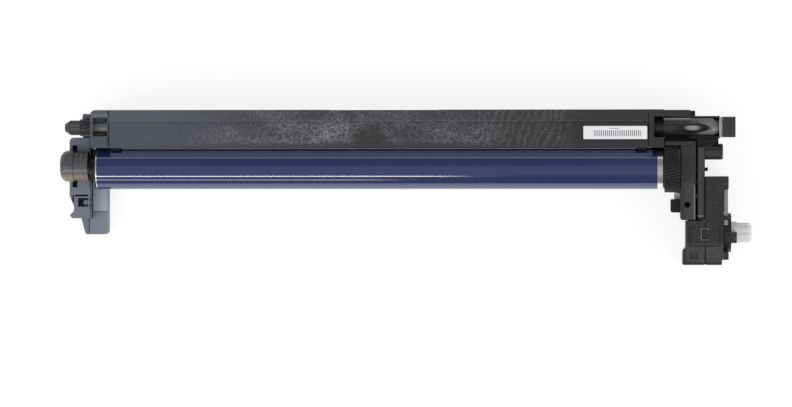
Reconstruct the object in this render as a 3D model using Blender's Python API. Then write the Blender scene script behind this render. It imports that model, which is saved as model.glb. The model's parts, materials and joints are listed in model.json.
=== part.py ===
# Printer drum unit: photoconductor drum, charge and cleaning rollers, toner cleaner with waste auger.
# Metres. The drum frame has its origin on the drum's axis: +X along the drum to the geared end,
# +Y from the drum to the cleaner bar, +Z up. The whole unit then stands on z = 0.

import bpy
import bmesh
from math import acos, atan2, cos, pi, radians, sin, sqrt, tan
from mathutils import Matrix, Vector

# Clearances
SEAT_GAP = 0.0003            # between pieces that are seated on each other
RUN_GAP = 0.00035            # between a turning surface and what it runs against
BORE_GAP = 0.0002            # radial, round a turning shaft

# Overall
FRONT_END_X = -0.20935       # outer face of the front bearing cap

# Photoconductor drum
DRUM_RADIUS = 0.012
DRUM_WALL = 0.00075
FLOOR_GAP = 0.0130
FLOOR_Z = -DRUM_RADIUS - FLOOR_GAP     # what the unit stands on, under the drum's axis
DRUM_X0 = -0.1870
DRUM_LENGTH = 0.343
DRUM_X1 = DRUM_X0 + DRUM_LENGTH
FLANGE_STUB_LENGTH = 0.012
FLANGE_DISC = 0.0010
SHAFT_RADIUS = 0.003
SHAFT_TIP_RADIUS = 0.0011
SHAFT_TIP_LENGTH = 0.0019

# Gear train: drum gear, idler pinion on the countershaft, counter gear, coupling gear
HELIX_ANGLE = radians(13)
PRESSURE_ANGLE = radians(20)
TOOTH_THINNING = 0.16
ADDENDUM = 0.9
DEDENDUM = 1.25
DRUM_GEAR_TEETH = 48
DRUM_GEAR_MODULE = 0.0005625
PINION_TEETH = 21
PINION_FACE = 0.0031
COUNTER_TEETH = 20
COUPLING_TEETH = 30
BOX_GEAR_MODULE = 0.0009
BOX_GEAR_FACE = 0.0055
COUNTER_SHAFT_RADIUS = 0.0018
COUNTER_ANGLE = radians(214.9)        # from the drum's axis to the countershaft, from +Y towards +Z
COUPLING_AXIS_Y = -0.0382

# Cleaner bar
BAR_GAP = 0.0010
BAR_WIDTH = 0.0229
BAR_Y0 = DRUM_RADIUS + BAR_GAP
BAR_Y1 = BAR_Y0 + BAR_WIDTH
BAR_X0 = -0.1901
BAR_REACH = 0.0006
BAR_X1 = DRUM_X1 + BAR_REACH
BAR_TOP_Z = 0.0110
BAR_CORNER = 0.0030
COVER_X0 = -0.1787
COVER_REACH = -0.0088
COVER_X1 = DRUM_X1 + COVER_REACH
COVER_THICKNESS = 0.0010
COVER_STEP_PLACE = 0.0152
COVER_STEP_Y = BAR_Y0 + COVER_STEP_PLACE
COVER_STEP = 0.0006
COVER_LIP = 0.0017
NOTCH_X0 = -0.0450
NOTCH_X1 = 0.0210
NOTCH_DEPTH = 0.0007
TRAY_Y0 = -0.0080
TRAY_HEIGHT = 0.0095
TRAY_TOP_Z = FLOOR_Z + TRAY_HEIGHT
TRAY_WALL = 0.0018
RIB_BAYS = 9
RAIL_LENGTH = 0.0156
RAIL_X1 = BAR_X1 + RAIL_LENGTH
RAIL_WIDTH = 0.0043
RAIL_Y0 = BAR_Y1 - RAIL_WIDTH
RAIL_HEIGHT = 0.0052

# Auger and its trough
AUGER_PLACE = 0.0124
AUGER_Y = BAR_Y0 + AUGER_PLACE
AUGER_Z = 0.0020
AUGER_RADIUS = 0.0040
AUGER_CORE_RADIUS = 0.0022
AUGER_PITCH = 0.0240
AUGER_STEPS = 12
AUGER_FLIGHT = 0.0016
AUGER_JOURNAL_RADIUS = 0.0043
TROUGH_GAP = 0.0009
TROUGH_X0 = -0.1720
TROUGH_REACH = -0.0160
TROUGH_X1 = DRUM_X1 + TROUGH_REACH
AUGER_GEAR_TEETH = 16
AUGER_GEAR_MODULE = 0.00058
AUGER_GEAR_FACE = 0.0068
KNOB_RADIUS = 0.0045
KNOB_LENGTH = 0.0092
KNOB_FLUTES = 9

# Window over the auger's front journal
WINDOW_X0 = -0.1884
WINDOW_X1 = -0.1799
WINDOW_PLACE = 0.0070
WINDOW_WIDTH = 0.0111
WINDOW_Y0 = BAR_Y0 + WINDOW_PLACE
WINDOW_Y1 = WINDOW_Y0 + WINDOW_WIDTH
WINDOW_DEPTH = 0.0145

# Blade, its bracket and the seals
SILL_Z = -0.0010
BRACKET_THICKNESS = 0.0011
BRACKET_TOP_Z = 0.0077
BRACKET_SETBACK = 0.0014
BRACKET_Y0 = BAR_Y0 + BRACKET_SETBACK
BRACKET_WIDTH = 0.0049
BRACKET_DROP = 0.0045
BRACKET_SLOPE = 0.0030
BRACKET_LEAN = radians(22)
BLADE_DROP = 0.0022
LEDGE_LENGTH = 0.0060
BLADE_THICKNESS = 0.0015
BLADE_LENGTH = 0.0033
BLADE_LEAN = radians(5.5)
FILM_THICKNESS = 0.0002
FILM_WIDTH = 0.0048
PAD_THICKNESS = 0.0020
PAD_WIDTH = 0.0055
PAD_ANGLES = (radians(-4), radians(24))
SCREW_HEAD_RADIUS = 0.0022
SCREW_HEAD_HEIGHT = 0.0010
SCREW_SHANK_RADIUS = 0.0012
SCREW_LENGTH = 0.0070

# Charge roller and the foam roller that wipes it
CHARGE_RADIUS = 0.0045
CHARGE_ANGLE = radians(-60)
CHARGE_X0 = -0.1660
CHARGE_REACH = -0.0160
CHARGE_X1 = DRUM_X1 + CHARGE_REACH
CHARGE_SHAFT_RADIUS = 0.0025
WIPER_RADIUS = 0.0035
WIPER_ANGLE = radians(-35)
WIPER_SHAFT_RADIUS = 0.0015
BEARING_WIDTH = 0.0050
BEARING_HALF = 0.0040
SPRING_RADIUS = 0.0020
SPRING_WIRE = 0.00025
SPRING_TURNS = 3
CAVITY_X0 = -0.1765
CAVITY_REACH = -0.0055
CAVITY_X1 = DRUM_X1 + CAVITY_REACH

# Front end
BRACKET_X0 = -0.2046
BRACKET_X1 = -0.1920
BRACKET_ZTOP = -0.0030
BRACKET_Y1 = 0.0195
BRACKET_TAIL_Y = -0.0297     # the bracket's tail below this goes down to the leg's level
TAIL_X1 = -0.1941
GUARD_TAB_Y1 = 0.0339
LOCK_ROOMS = ((0.0070, 0.0148), (-0.0109, -0.0050))
LOCK_WIDTH = 0.0031
PIN_ROOM_Y = (-0.0226, -0.0173)
PIN_RADIUS = 0.0015
NOTCH_WIDTH = 0.0015
CAP_RADIUS = 0.00945
CAP_LENGTH = 0.0080
CAP_CORNER = 0.0045
CAP_OFFSET = 0.0020          # the cap's outside stands off the drum's axis
CAP_RIBS = 3
NECK_RADIUS = 0.0088
LEG_X1 = -0.1826
LEG_Y0 = -0.0395
LEG_TOP_Z = -0.0132
LEG_CORNER = 0.0022
LEG_WALL = 0.0018
LEG_STEPS = ((-0.0252, 0.0004), (-0.0282, 0.0007))      # along Y, and how far the top drops

# Rear end
GEAR_ROOM = 0.0099            # from the cleaner bar to the rear plate
REAR_PLATE_THICKNESS = 0.0091
REAR_PLATE_X0 = BAR_X1 + GEAR_ROOM
REAR_PLATE_X1 = REAR_PLATE_X0 + REAR_PLATE_THICKNESS
REAR_PLATE_Y0 = -0.0307
REAR_PLATE_Y1 = 0.0167
REAR_PLATE_ZTOP = 0.0080
REAR_HOLE_RADIUS = 0.0018
REAR_HOLE_Y = -0.0215
REAR_HOLE_DEPTH = 0.0120
PLATE_SPACE = 0.0011
OUTER_PLATE_THICKNESS = 0.0044
OUTER_PLATE_X0 = REAR_PLATE_X1 + PLATE_SPACE
OUTER_PLATE_X1 = OUTER_PLATE_X0 + OUTER_PLATE_THICKNESS
SHAFT_TIP_X = OUTER_PLATE_X1 + SHAFT_TIP_LENGTH
OUTER_PLATE_Y1 = 0.0133
OUTER_PLATE_ZTOP = 0.0060
SIDE_BOSS_LENGTH = 0.0109
SIDE_BOSS_X1 = OUTER_PLATE_X1 + SIDE_BOSS_LENGTH
SIDE_BOSS_Y = 0.0106
SIDE_BOSS_RADIUS = 0.0048
PLATE_STUDS = ((0.0070, -0.0180), (-0.0267, -0.0180), (-0.0080, 0.0020))
STUD_RADIUS = 0.0022
WEB_LENGTH = 0.0084
WEB_TOE = (0.0054, 0.0039)   # along X past the outer plate, and down Y from the bar's back
CRADLE_THICKNESS = 0.0030
LIP_SETBACK = 0.0100
JOINT_STEP = 0.0016          # height of the lips that close the seams between the rear pieces
GUARD_LENGTH = 0.0058
GUARD_X0 = REAR_PLATE_X0 - GUARD_LENGTH
GUARD_Y0 = -0.0261
GUARD_Y1 = -0.0180
GUARD_ZTOP = -0.0025

# Gearbox
BOX_LENGTH = 0.0107
BOX_SHOULDER = 0.0032
BOX_SPLIT_X = OUTER_PLATE_X1 + SEAT_GAP
BOX_X1 = BOX_SPLIT_X + BOX_LENGTH
BOX_SHOULDER_X = BOX_X1 + BOX_SHOULDER
BOX_SHOULDER_Y = -0.0120
BOX_Y1 = -0.0043
BOX_Y0 = -0.0576
BOX_SETBACK = 0.0031
BOX_FOOT_SETBACK = 0.0013
BOX_X0 = REAR_PLATE_X0 + BOX_SETBACK
BOX_FOOT_X = REAR_PLATE_X0 + BOX_FOOT_SETBACK
BOX_FOOT_Y = -0.0490
BOX_LOW_BLOCK = (-0.0545, -0.0495)
BOX_STEP_Y = -0.0268
BOX_STEP = 0.0004
BOX_ZTOP = 0.0085
BOX_WALL = 0.0016
BOX_RECESS = 0.0012
RECESS_Y = (-0.0466, -0.0345)
LATCH_X = 0.0126             # from the rear plate to the latch, its width and its slots
LATCH_WIDTH = 0.0046
LATCH_Y = (-0.0422, -0.0362)
LATCH_SLOT = 0.0006
POCKET_Y = (-0.0538, -0.0502)
POCKET_X = 0.0057
POCKET_WIDTH = 0.0046
FLANGE_RADIUS = 0.0118
FLANGE_LENGTH = 0.0046
COUPLING_RADIUS = 0.0060
COUPLING_RING_RADIUS = 0.0066
COUPLING_RING_LENGTH = 0.0052
COUPLING_LENGTH = 0.01405
COUPLING_RING_X = BOX_SHOULDER_X + COUPLING_RING_LENGTH
REAR_END_X = BOX_SHOULDER_X + COUPLING_LENGTH         # tip of the drive coupling
LUG_Y = (-0.0061, 0.0004)
LUG_LENGTH = 0.0050
LUG_X1 = BOX_SHOULDER_X + LUG_LENGTH
LUG_HEIGHT = 0.0062
COUPLING_FLUTES = 8
COUPLING_SHAFT_RADIUS = 0.0030
STRIP_Z = 0.0034
STRIP_Y0 = -0.0336
STRIP_THICKNESS = 0.0006
CLIP_Y = (-0.0305, -0.0281)
CLIP_HEIGHT = 0.0020
STRIP_SHELF_Y0 = -0.0236
STRIP_SHELF = 0.0037

# Waste toner outlet
PIPE_RADIUS = 0.0054
PIPE_WALL = 0.0011
PIPE_COLLAR_START = -0.0051
PIPE_COLLAR_X0 = DRUM_X1 + PIPE_COLLAR_START
PIPE_LENGTH = 0.0088           # past the outer plate
PIPE_X1 = OUTER_PLATE_X1 + PIPE_LENGTH
PIPE_TAPER = 0.0040
DISH_SETBACK = 0.0124
DISH_X = PIPE_X1 - DISH_SETBACK
DISH_LENGTH = 0.0175
DISH_WIDTH = 0.0052
DISH_DEPTH = 0.0009
PORT_SETBACK = 0.0073
PORT_X0 = PIPE_X1 - PORT_SETBACK
PORT_LENGTH = 0.0024
PORT_WIDTH = 0.0060
RING_LENGTH = 0.0010
HEAD_CORNER = 0.0010
HEAD_WALL = 0.0010
HEAD_LENGTH = 0.0095
HEAD_X1 = PIPE_X1 + HEAD_LENGTH
HEAD_HALF = 0.0062
COLLAR_RADIUS = 0.0060
SHUTTER_WALL = 0.0010
SHUTTER_LENGTH = 0.0180
SHUTTER_LIFT = radians(8)
LUG_THICKNESS = 0.0020
SHUTTER_SPRING_TURNS = 6
SHUTTER_SPRING_RADIUS = 0.0016
SHUTTER_SPRING_Z = -0.0096

# Label on the cover
LABEL_Y = 0.0220
LABEL_LENGTH = 0.0383
LABEL_MARGIN = 0.00075
LABEL_HEIGHT = 0.0079
LABEL_THICKNESS = 0.0002


# Places worked out from the sizes above
LABEL_X = COVER_X1 - LABEL_MARGIN - LABEL_LENGTH / 2
DRUM_GEAR_X0 = BAR_X1 + SEAT_GAP
DRUM_GEAR_X1 = REAR_PLATE_X0 - SEAT_GAP
DRUM_GEAR_RADIUS = DRUM_GEAR_TEETH * DRUM_GEAR_MODULE / 2
PINION_RADIUS = PINION_TEETH * DRUM_GEAR_MODULE / 2
COUNTER_RADIUS = COUNTER_TEETH * BOX_GEAR_MODULE / 2
COUPLING_GEAR_RADIUS = COUPLING_TEETH * BOX_GEAR_MODULE / 2
COUNTER_DISTANCE = DRUM_GEAR_RADIUS + PINION_RADIUS
COUNTER_Y = COUNTER_DISTANCE * cos(COUNTER_ANGLE)
COUNTER_Z = COUNTER_DISTANCE * sin(COUNTER_ANGLE)
COUPLING_DISTANCE = COUNTER_RADIUS + COUPLING_GEAR_RADIUS
COUPLING_Y = COUPLING_AXIS_Y
COUPLING_Z = COUNTER_Z + sqrt(COUPLING_DISTANCE ** 2 - (COUPLING_Y - COUNTER_Y) ** 2)
COVER_TOP_Z = BAR_TOP_Z
CRADLE_TOP_Z = AUGER_Z - PIPE_RADIUS - SHUTTER_WALL - 3 * SEAT_GAP
COVER_LOW_Z = BAR_TOP_Z - COVER_STEP
COVER_UNDER_Z = COVER_LOW_Z - COVER_THICKNESS
BAR_RIM_Z = COVER_UNDER_Z - SEAT_GAP
TROUGH_RADIUS = AUGER_RADIUS + TROUGH_GAP
AUGER_TURNS = int((PORT_X0 - TROUGH_X0) / AUGER_PITCH)
CHARGE_DISTANCE = DRUM_RADIUS + CHARGE_RADIUS + RUN_GAP
CHARGE_Y = CHARGE_DISTANCE * cos(CHARGE_ANGLE)
CHARGE_Z = CHARGE_DISTANCE * sin(CHARGE_ANGLE)
CHARGE_BEARING_Z = CHARGE_Z - BEARING_HALF + SPRING_WIRE * 2
WIPER_DISTANCE = CHARGE_RADIUS + WIPER_RADIUS + RUN_GAP
WIPER_Y = CHARGE_Y + WIPER_DISTANCE * cos(WIPER_ANGLE)
WIPER_Z = CHARGE_Z + WIPER_DISTANCE * sin(WIPER_ANGLE)
CAVITY_FLOOR_Z = FLOOR_Z + TRAY_WALL
LEDGE_Z = BRACKET_TOP_Z - BRACKET_THICKNESS - SEAT_GAP
SCREW_Y = BRACKET_Y0 + BRACKET_WIDTH / 2
PINION_X1 = REAR_PLATE_X0 - SEAT_GAP
PINION_X0 = PINION_X1 - PINION_FACE
BOX_GEAR_X0 = BOX_SPLIT_X + BOX_WALL
BOX_GEAR_X1 = BOX_GEAR_X0 + BOX_GEAR_FACE
COUPLING_LINE = atan2(COUPLING_Z - COUNTER_Z, COUPLING_Y - COUNTER_Y)
UNIT_Y = -(BAR_Y1 + BOX_Y0) / 2
UNIT_X = -(FRONT_END_X + REAR_END_X) / 2


def remove_everything():
    for item in list(bpy.data.objects):
        bpy.data.objects.remove(item, do_unlink=True)


def material(name, colour, roughness, metallic=0.0):
    made = bpy.data.materials.new(name)
    made.use_nodes = True
    shader = made.node_tree.nodes["Principled BSDF"]
    shader.inputs["Base Color"].default_value = (*colour, 1.0)
    shader.inputs["Roughness"].default_value = roughness
    shader.inputs["Metallic"].default_value = metallic
    return made


def empty(name, parent=None, place=(0, 0, 0)):
    made = bpy.data.objects.new(name, None)
    made.location = place
    made.parent = parent
    bpy.context.scene.collection.objects.link(made)
    return made


def mesh_object(name, shape, finish=None, parent=None, smooth=None):
    """Turns a bmesh into a linked object, with its faces pointing out."""
    bmesh.ops.recalc_face_normals(shape, faces=shape.faces)
    mesh = bpy.data.meshes.new(name)
    shape.to_mesh(mesh)
    shape.free()
    if smooth:
        mesh.shade_smooth()
        mesh.set_sharp_from_angle(angle=radians(smooth))
    made = bpy.data.objects.new(name, mesh)
    if finish:
        mesh.materials.append(finish)
    made.parent = parent
    bpy.context.scene.collection.objects.link(made)
    return made


def extruded(outline, low, high, axis):
    """Closed prism: the outline's two coordinates are the two axes that follow the given one."""
    order = {"x": (0, 1, 2), "y": (2, 0, 1), "z": (1, 2, 0)}[axis]
    shape = bmesh.new()
    rings = []
    for level in (low, high):
        rings.append([shape.verts.new([(level, a, b)[k] for k in order]) for a, b in outline])
    count = len(outline)
    shape.faces.new(rings[0][::-1])
    shape.faces.new(rings[1])
    for i in range(count):
        j = (i + 1) % count
        shape.faces.new((rings[0][i], rings[0][j], rings[1][j], rings[1][i]))
    return shape


def block(low, high):
    outline = [(low[1], low[2]), (high[1], low[2]), (high[1], high[2]), (low[1], high[2])]
    return extruded(outline, low[0], high[0], "x")


def arc(centre, radius, start, end, steps):
    return [(centre[0] + radius * cos(start + (end - start) * i / steps),
             centre[1] + radius * sin(start + (end - start) * i / steps)) for i in range(steps + 1)]


def rounded(points, radii, steps=3):
    """Outline whose corners are rounded: one radius for each point, 0 for a sharp one."""
    outline = []
    count = len(points)
    for i in range(count):
        corner = Vector(points[i])
        if radii[i] == 0:
            outline.append(tuple(corner))
            continue
        to_last = (Vector(points[i - 1]) - corner).normalized()
        to_next = (Vector(points[(i + 1) % count]) - corner).normalized()
        half = acos(max(-1, min(1, to_last.dot(to_next)))) / 2
        centre = corner + (to_last + to_next).normalized() * (radii[i] / sin(half))
        first = corner + to_last * (radii[i] / tan(half)) - centre
        last = corner + to_next * (radii[i] / tan(half)) - centre
        start = atan2(first.y, first.x)
        turn = (atan2(last.y, last.x) - start + pi) % (2 * pi) - pi
        outline += arc(centre, radii[i], start, start + turn, steps)
    return outline


def turned(profile, steps, closed=False):
    """Revolves (x, radius) points about the X axis; a closed profile makes a ring with a bore."""
    shape = bmesh.new()
    rings = []
    for x, radius in profile:
        if radius == 0:
            rings.append([shape.verts.new((x, 0, 0))])
            continue
        turn = [2 * pi * k / steps for k in range(steps)]
        rings.append([shape.verts.new((x, radius * cos(a), radius * sin(a))) for a in turn])
    pairs = list(zip(rings, rings[1:]))
    if closed:
        pairs.append((rings[-1], rings[0]))
    else:
        for ring in (rings[0], rings[-1]):
            if len(ring) > 1:
                shape.faces.new(ring)
    for one, two in pairs:
        for k in range(steps):
            j = (k + 1) % steps
            corners = [one[k % len(one)], one[j % len(one)], two[j % len(two)], two[k % len(two)]]
            shape.faces.new(list(dict.fromkeys(corners)))
    return shape


def tube(x0, x1, inner, outer, steps):
    return turned([(x0, inner), (x1, inner), (x1, outer), (x0, outer)], steps, closed=True)


def gear(teeth, module, x0, x1, phase, twist, slices):
    """Toothed wheel about X. The tooth at the phase angle turns by the twist, per metre of X."""
    radius = teeth * module / 2
    half = pi / (2 * teeth) * (1 - TOOTH_THINNING)
    top, bottom = ADDENDUM * module, DEDENDUM * module
    tip = half - top * tan(PRESSURE_ANGLE) / radius
    root = half + bottom * tan(PRESSURE_ANGLE) / radius
    corners = ((-root, radius - bottom), (-tip, radius + top), (tip, radius + top), (root, radius - bottom))
    shape = bmesh.new()
    rings = []
    for level in range(slices + 1):
        x = x0 + (x1 - x0) * level / slices
        turn = phase + twist * (x - x0)
        ring = []
        for tooth in range(teeth):
            for offset, reach in corners:
                angle = turn + 2 * pi * tooth / teeth + offset
                ring.append(shape.verts.new((x, reach * cos(angle), reach * sin(angle))))
        rings.append(ring)
    shape.faces.new(rings[0])
    shape.faces.new(rings[-1])
    for one, two in zip(rings, rings[1:]):
        for k in range(len(one)):
            j = (k + 1) % len(one)
            shape.faces.new((one[k], one[j], two[j], two[k]))
    return shape


def fluted(x0, x1, radius, depth, flutes, taper_x, taper_radius):
    """Knob about X with rounded flutes, tapering to a flat tip between taper_x and the far end."""
    steps = flutes * 4
    shape = bmesh.new()
    rings = []
    for x, scale in ((x0, 1), (taper_x, 1), (x1, taper_radius / radius)):
        ring = []
        for k in range(steps):
            angle = 2 * pi * k / steps
            reach = (radius - depth * (1 if k % 4 == 0 else 0)) * scale
            ring.append(shape.verts.new((x, reach * cos(angle), reach * sin(angle))))
        rings.append(ring)
    shape.faces.new(rings[0])
    shape.faces.new(rings[-1])
    for one, two in zip(rings, rings[1:]):
        for k in range(steps):
            j = (k + 1) % steps
            shape.faces.new((one[k], one[j], two[j], two[k]))
    return shape


def coil(radius, wire, height, turns, steps=9, sides=5):
    """Compression spring that stands on its origin and rises along +Z."""
    shape = bmesh.new()
    rings = []
    total = turns * steps
    for i in range(total + 1):
        angle = 2 * pi * i / steps
        rise = wire + (height - 2 * wire) * i / total
        centre = Vector((radius * cos(angle), radius * sin(angle), rise))
        outward = Vector((cos(angle), sin(angle), 0))
        ring = []
        for k in range(sides):
            turn = 2 * pi * k / sides
            offset = outward * wire * cos(turn) + Vector((0, 0, wire * sin(turn)))
            ring.append(shape.verts.new(centre + offset))
        rings.append(ring)
    shape.faces.new(rings[0])
    shape.faces.new(rings[-1])
    for one, two in zip(rings, rings[1:]):
        for k in range(sides):
            j = (k + 1) % sides
            shape.faces.new((one[k], one[j], two[j], two[k]))
    return shape


def helper(name, shape, parent):
    """A cutter or an added block: it shapes its owner and is no piece itself."""
    made = mesh_object(name, shape, parent=parent)
    made.display_type = "WIRE"
    made.hide_render = True
    return made


def combine(owner, shapes, operation, place=(0, 0, 0)):
    for number, shape in enumerate(shapes, 1):
        name = f"{owner.name}_{operation.lower()}_{len(owner.modifiers)}_{number}"
        tool = helper(name, shape, owner.parent)
        tool.location = place
        step = owner.modifiers.new(operation.title(), "BOOLEAN")
        step.operation = operation
        step.object = tool
        step.solver = "EXACT"


def cut(owner, *shapes, place=(0, 0, 0)):
    combine(owner, shapes, "DIFFERENCE", place)


def add(owner, *shapes, place=(0, 0, 0)):
    combine(owner, shapes, "UNION", place)


def upright(shape, place):
    """Turns a shape about X so that its +X points down, and moves it to its place."""
    bmesh.ops.rotate(shape, verts=shape.verts, matrix=Matrix.Rotation(pi / 2, 3, "Y"))
    bmesh.ops.translate(shape, verts=shape.verts, vec=place)
    return shape


def soften(owner, width, segments=2, angle=35):
    edge = owner.modifiers.new("Edges", "BEVEL")
    edge.width = width
    edge.segments = segments
    edge.limit_method = "ANGLE"
    edge.angle_limit = radians(angle)


def rod(x0, x1, radius, steps=16):
    return turned([(x0, radius), (x1, radius)], steps)


# Cleaner bar

def cleaner_frame(parent, finish):
    corners = [(BAR_X0, BAR_Y1), (BAR_X0, BAR_Y0), (BAR_X1, BAR_Y0), (BAR_X1, BAR_Y1)]
    plan = rounded(corners, [BAR_CORNER, 0, 0, 0])
    frame = mesh_object("cleaner_frame", extruded(plan, FLOOR_Z, BAR_TOP_Z, "z"), finish, parent)
    tray = block((COVER_X0, TRAY_Y0, FLOOR_Z), (BAR_X1, BAR_Y0 + BAR_CORNER, TRAY_TOP_Z))
    rail = block((BAR_X1 - BAR_CORNER, RAIL_Y0, BAR_TOP_Z - RAIL_HEIGHT),
                 (RAIL_X1, BAR_Y1 - SEAT_GAP, BAR_TOP_Z - SEAT_GAP))
    add(frame, tray, rail)
    cut(frame, *cover_seat(), *trough_cutters(), *rib_pockets(), *end_openings())
    return frame


def cover_seat():
    """Rebate that the top cover drops into, and the shallow notch along the back edge."""
    seat = block((COVER_X0 - SEAT_GAP, BAR_Y0 - BAR_CORNER, BAR_RIM_Z),
                 (COVER_X1 + SEAT_GAP, BAR_Y1 + BAR_CORNER, BAR_TOP_Z + BAR_CORNER))
    return [seat, back_notch()]


def back_notch():
    return block((NOTCH_X0, BAR_Y1 - NOTCH_DEPTH, AUGER_Z),
                 (NOTCH_X1, BAR_Y1 + NOTCH_DEPTH, BAR_TOP_Z + NOTCH_DEPTH))


def trough_cutters():
    """The auger's trough, the toner's way into it, the blade's ledges and the rollers' cavity."""
    bottom = arc((AUGER_Y, AUGER_Z), TROUGH_RADIUS, pi, 2 * pi, 8)
    channel = [(AUGER_Y + TROUGH_RADIUS, BAR_TOP_Z)] + [(AUGER_Y - TROUGH_RADIUS, BAR_TOP_Z)] + bottom
    trough = extruded(channel, TROUGH_X0, TROUGH_X1, "x")
    mouth = block((TROUGH_X0, BAR_Y0 - SEAT_GAP, SILL_Z), (TROUGH_X1, AUGER_Y, BAR_TOP_Z))
    ledge_y = BRACKET_Y0 + BRACKET_WIDTH + SEAT_GAP
    ledges = block((TROUGH_X0 - LEDGE_LENGTH - SEAT_GAP, BAR_Y0 - SEAT_GAP, LEDGE_Z),
                   (TROUGH_X1 + LEDGE_LENGTH + SEAT_GAP, ledge_y, BAR_TOP_Z))
    far_y = WIPER_Y + WIPER_RADIUS + TRAY_WALL / 2
    low_y = TRAY_Y0 + TRAY_WALL
    side_z = WIPER_Z + WIPER_RADIUS + TRAY_WALL / 3
    slope = BAR_Y0 + TRAY_WALL / 2
    roof_z = side_z + (far_y - slope)
    outline = [(low_y, CAVITY_FLOOR_Z), (far_y, CAVITY_FLOOR_Z), (far_y, side_z), (slope, roof_z),
               (low_y, roof_z)]
    cavity = extruded(outline, CAVITY_X0, CAVITY_X1, "x")
    pads = [pad_shape(x, SEAT_GAP) for x in pad_places()]
    holes = []
    for x in screw_places():
        hole = rod(0, SCREW_LENGTH, SCREW_SHANK_RADIUS + BORE_GAP, 12)
        holes.append(upright(hole, (x, SCREW_Y, LEDGE_Z + SEAT_GAP)))
    return [trough, mouth, ledges, cavity] + pads + holes


def rib_pockets():
    """Open pockets under the bar that leave ribs between them."""
    length = (CAVITY_X1 - CAVITY_X0 + TRAY_WALL) / RIB_BAYS
    y0 = WIPER_Y + WIPER_RADIUS + TRAY_WALL * 1.5
    top = AUGER_Z - TROUGH_RADIUS - TRAY_WALL
    pockets = []
    for bay in range(RIB_BAYS):
        x0 = CAVITY_X0 + bay * length
        pockets.append(block((x0, y0, FLOOR_Z - TRAY_WALL),
                             (x0 + length - TRAY_WALL, BAR_Y1 - TRAY_WALL, top)))
    return pockets


def end_openings():
    """Window over the front journal, the auger's bores and the seat of the outlet pipe's collar."""
    window = block((WINDOW_X0, WINDOW_Y0, BAR_TOP_Z - WINDOW_DEPTH),
                   (WINDOW_X1, WINDOW_Y1, BAR_TOP_Z + WINDOW_DEPTH))
    front_bore = rod(BAR_X0 - BAR_CORNER, TROUGH_X0 + SEAT_GAP, AUGER_JOURNAL_RADIUS + BORE_GAP, 20)
    rear_bore = rod(TROUGH_X1 - SEAT_GAP, PIPE_COLLAR_X0 + SEAT_GAP, TROUGH_RADIUS, 20)
    for bore in (front_bore, rear_bore):
        bmesh.ops.translate(bore, verts=bore.verts, vec=(0, AUGER_Y, AUGER_Z))
    reach = COLLAR_RADIUS + SEAT_GAP
    outline = [(AUGER_Y + reach, BAR_TOP_Z * 2)] + [(AUGER_Y - reach, BAR_TOP_Z * 2)]
    outline += arc((AUGER_Y, AUGER_Z), reach, pi, 2 * pi, 12)
    seat = extruded(outline, PIPE_COLLAR_X0 - SEAT_GAP, BAR_X1 + SEAT_GAP, "x")
    return [window, front_bore, rear_bore, seat]


def top_cover(parent, finish):
    lip = COVER_STEP / 2
    outline = [(BAR_Y0, COVER_UNDER_Z), (BAR_Y1, COVER_UNDER_Z), (BAR_Y1, COVER_TOP_Z),
               (COVER_STEP_Y, COVER_TOP_Z), (COVER_STEP_Y - lip, COVER_LOW_Z),
               (BAR_Y0 + COVER_LIP, COVER_LOW_Z),
               (BAR_Y0 + COVER_LIP - lip, COVER_LOW_Z - lip), (BAR_Y0, COVER_LOW_Z - lip)]
    cover = mesh_object("top_cover", extruded(outline, COVER_X0, COVER_X1, "x"), finish, parent)
    soften(cover, lip / 2, 1)
    reach_x, reach_y = LABEL_LENGTH / 2 + SEAT_GAP, LABEL_HEIGHT / 2 + SEAT_GAP
    depth = LABEL_THICKNESS + SEAT_GAP
    room = block((-reach_x, -reach_y, -depth), (reach_x, reach_y, depth))
    cut(cover, room, place=(LABEL_X, LABEL_Y, COVER_LOW_Z))
    cut(cover, back_notch())
    return cover


def blank_label(parent, finish):
    shape = block((-LABEL_LENGTH / 2, -LABEL_HEIGHT / 2, -LABEL_THICKNESS),
                  (LABEL_LENGTH / 2, LABEL_HEIGHT / 2, 0))
    label = mesh_object("blank_label", shape, finish, parent)
    label.location = (LABEL_X, LABEL_Y, COVER_LOW_Z)


def blade_set(parent, steel, rubber, film, felt):
    x0, x1 = TROUGH_X0 + SEAT_GAP, TROUGH_X1 - SEAT_GAP
    blade_bracket(parent, steel)
    foot = Vector((BRACKET_Y0 - SEAT_GAP, BRACKET_TOP_Z - BLADE_DROP))
    down = Vector((-sin(BLADE_LEAN), -cos(BLADE_LEAN))) * BLADE_LENGTH
    across = Vector((-cos(BLADE_LEAN), sin(BLADE_LEAN))) * BLADE_THICKNESS
    corners = [tuple(corner) for corner in (foot, foot + down, foot + down + across, foot + across)]
    mesh_object("cleaning_blade", extruded(corners, x0, x1, "x"), rubber, parent)
    film_z = SILL_Z + SEAT_GAP
    film_y = DRUM_RADIUS + RUN_GAP
    strip = block((x0, film_y, film_z), (x1, film_y + FILM_WIDTH, film_z + FILM_THICKNESS))
    mesh_object("seal_film", strip, film, parent)
    for name, x in zip(("front_end_seal", "rear_end_seal"), pad_places()):
        mesh_object(name, pad_shape(x, 0), felt, parent)
    for name, x in zip(("blade_screw_front", "blade_screw_rear"), screw_places()):
        tip = SCREW_HEAD_HEIGHT - SCREW_LENGTH
        profile = [(tip, 0), (tip, SCREW_SHANK_RADIUS), (0, SCREW_SHANK_RADIUS), (0, SCREW_HEAD_RADIUS),
                   (SCREW_HEAD_HEIGHT, SCREW_HEAD_RADIUS * 0.8), (SCREW_HEAD_HEIGHT, 0)]
        screw = mesh_object(name, turned(profile, 12), steel, parent, smooth=40)
        screw.rotation_euler = (0, -pi / 2, 0)
        screw.location = (x, SCREW_Y, BRACKET_TOP_Z + SEAT_GAP)


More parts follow.
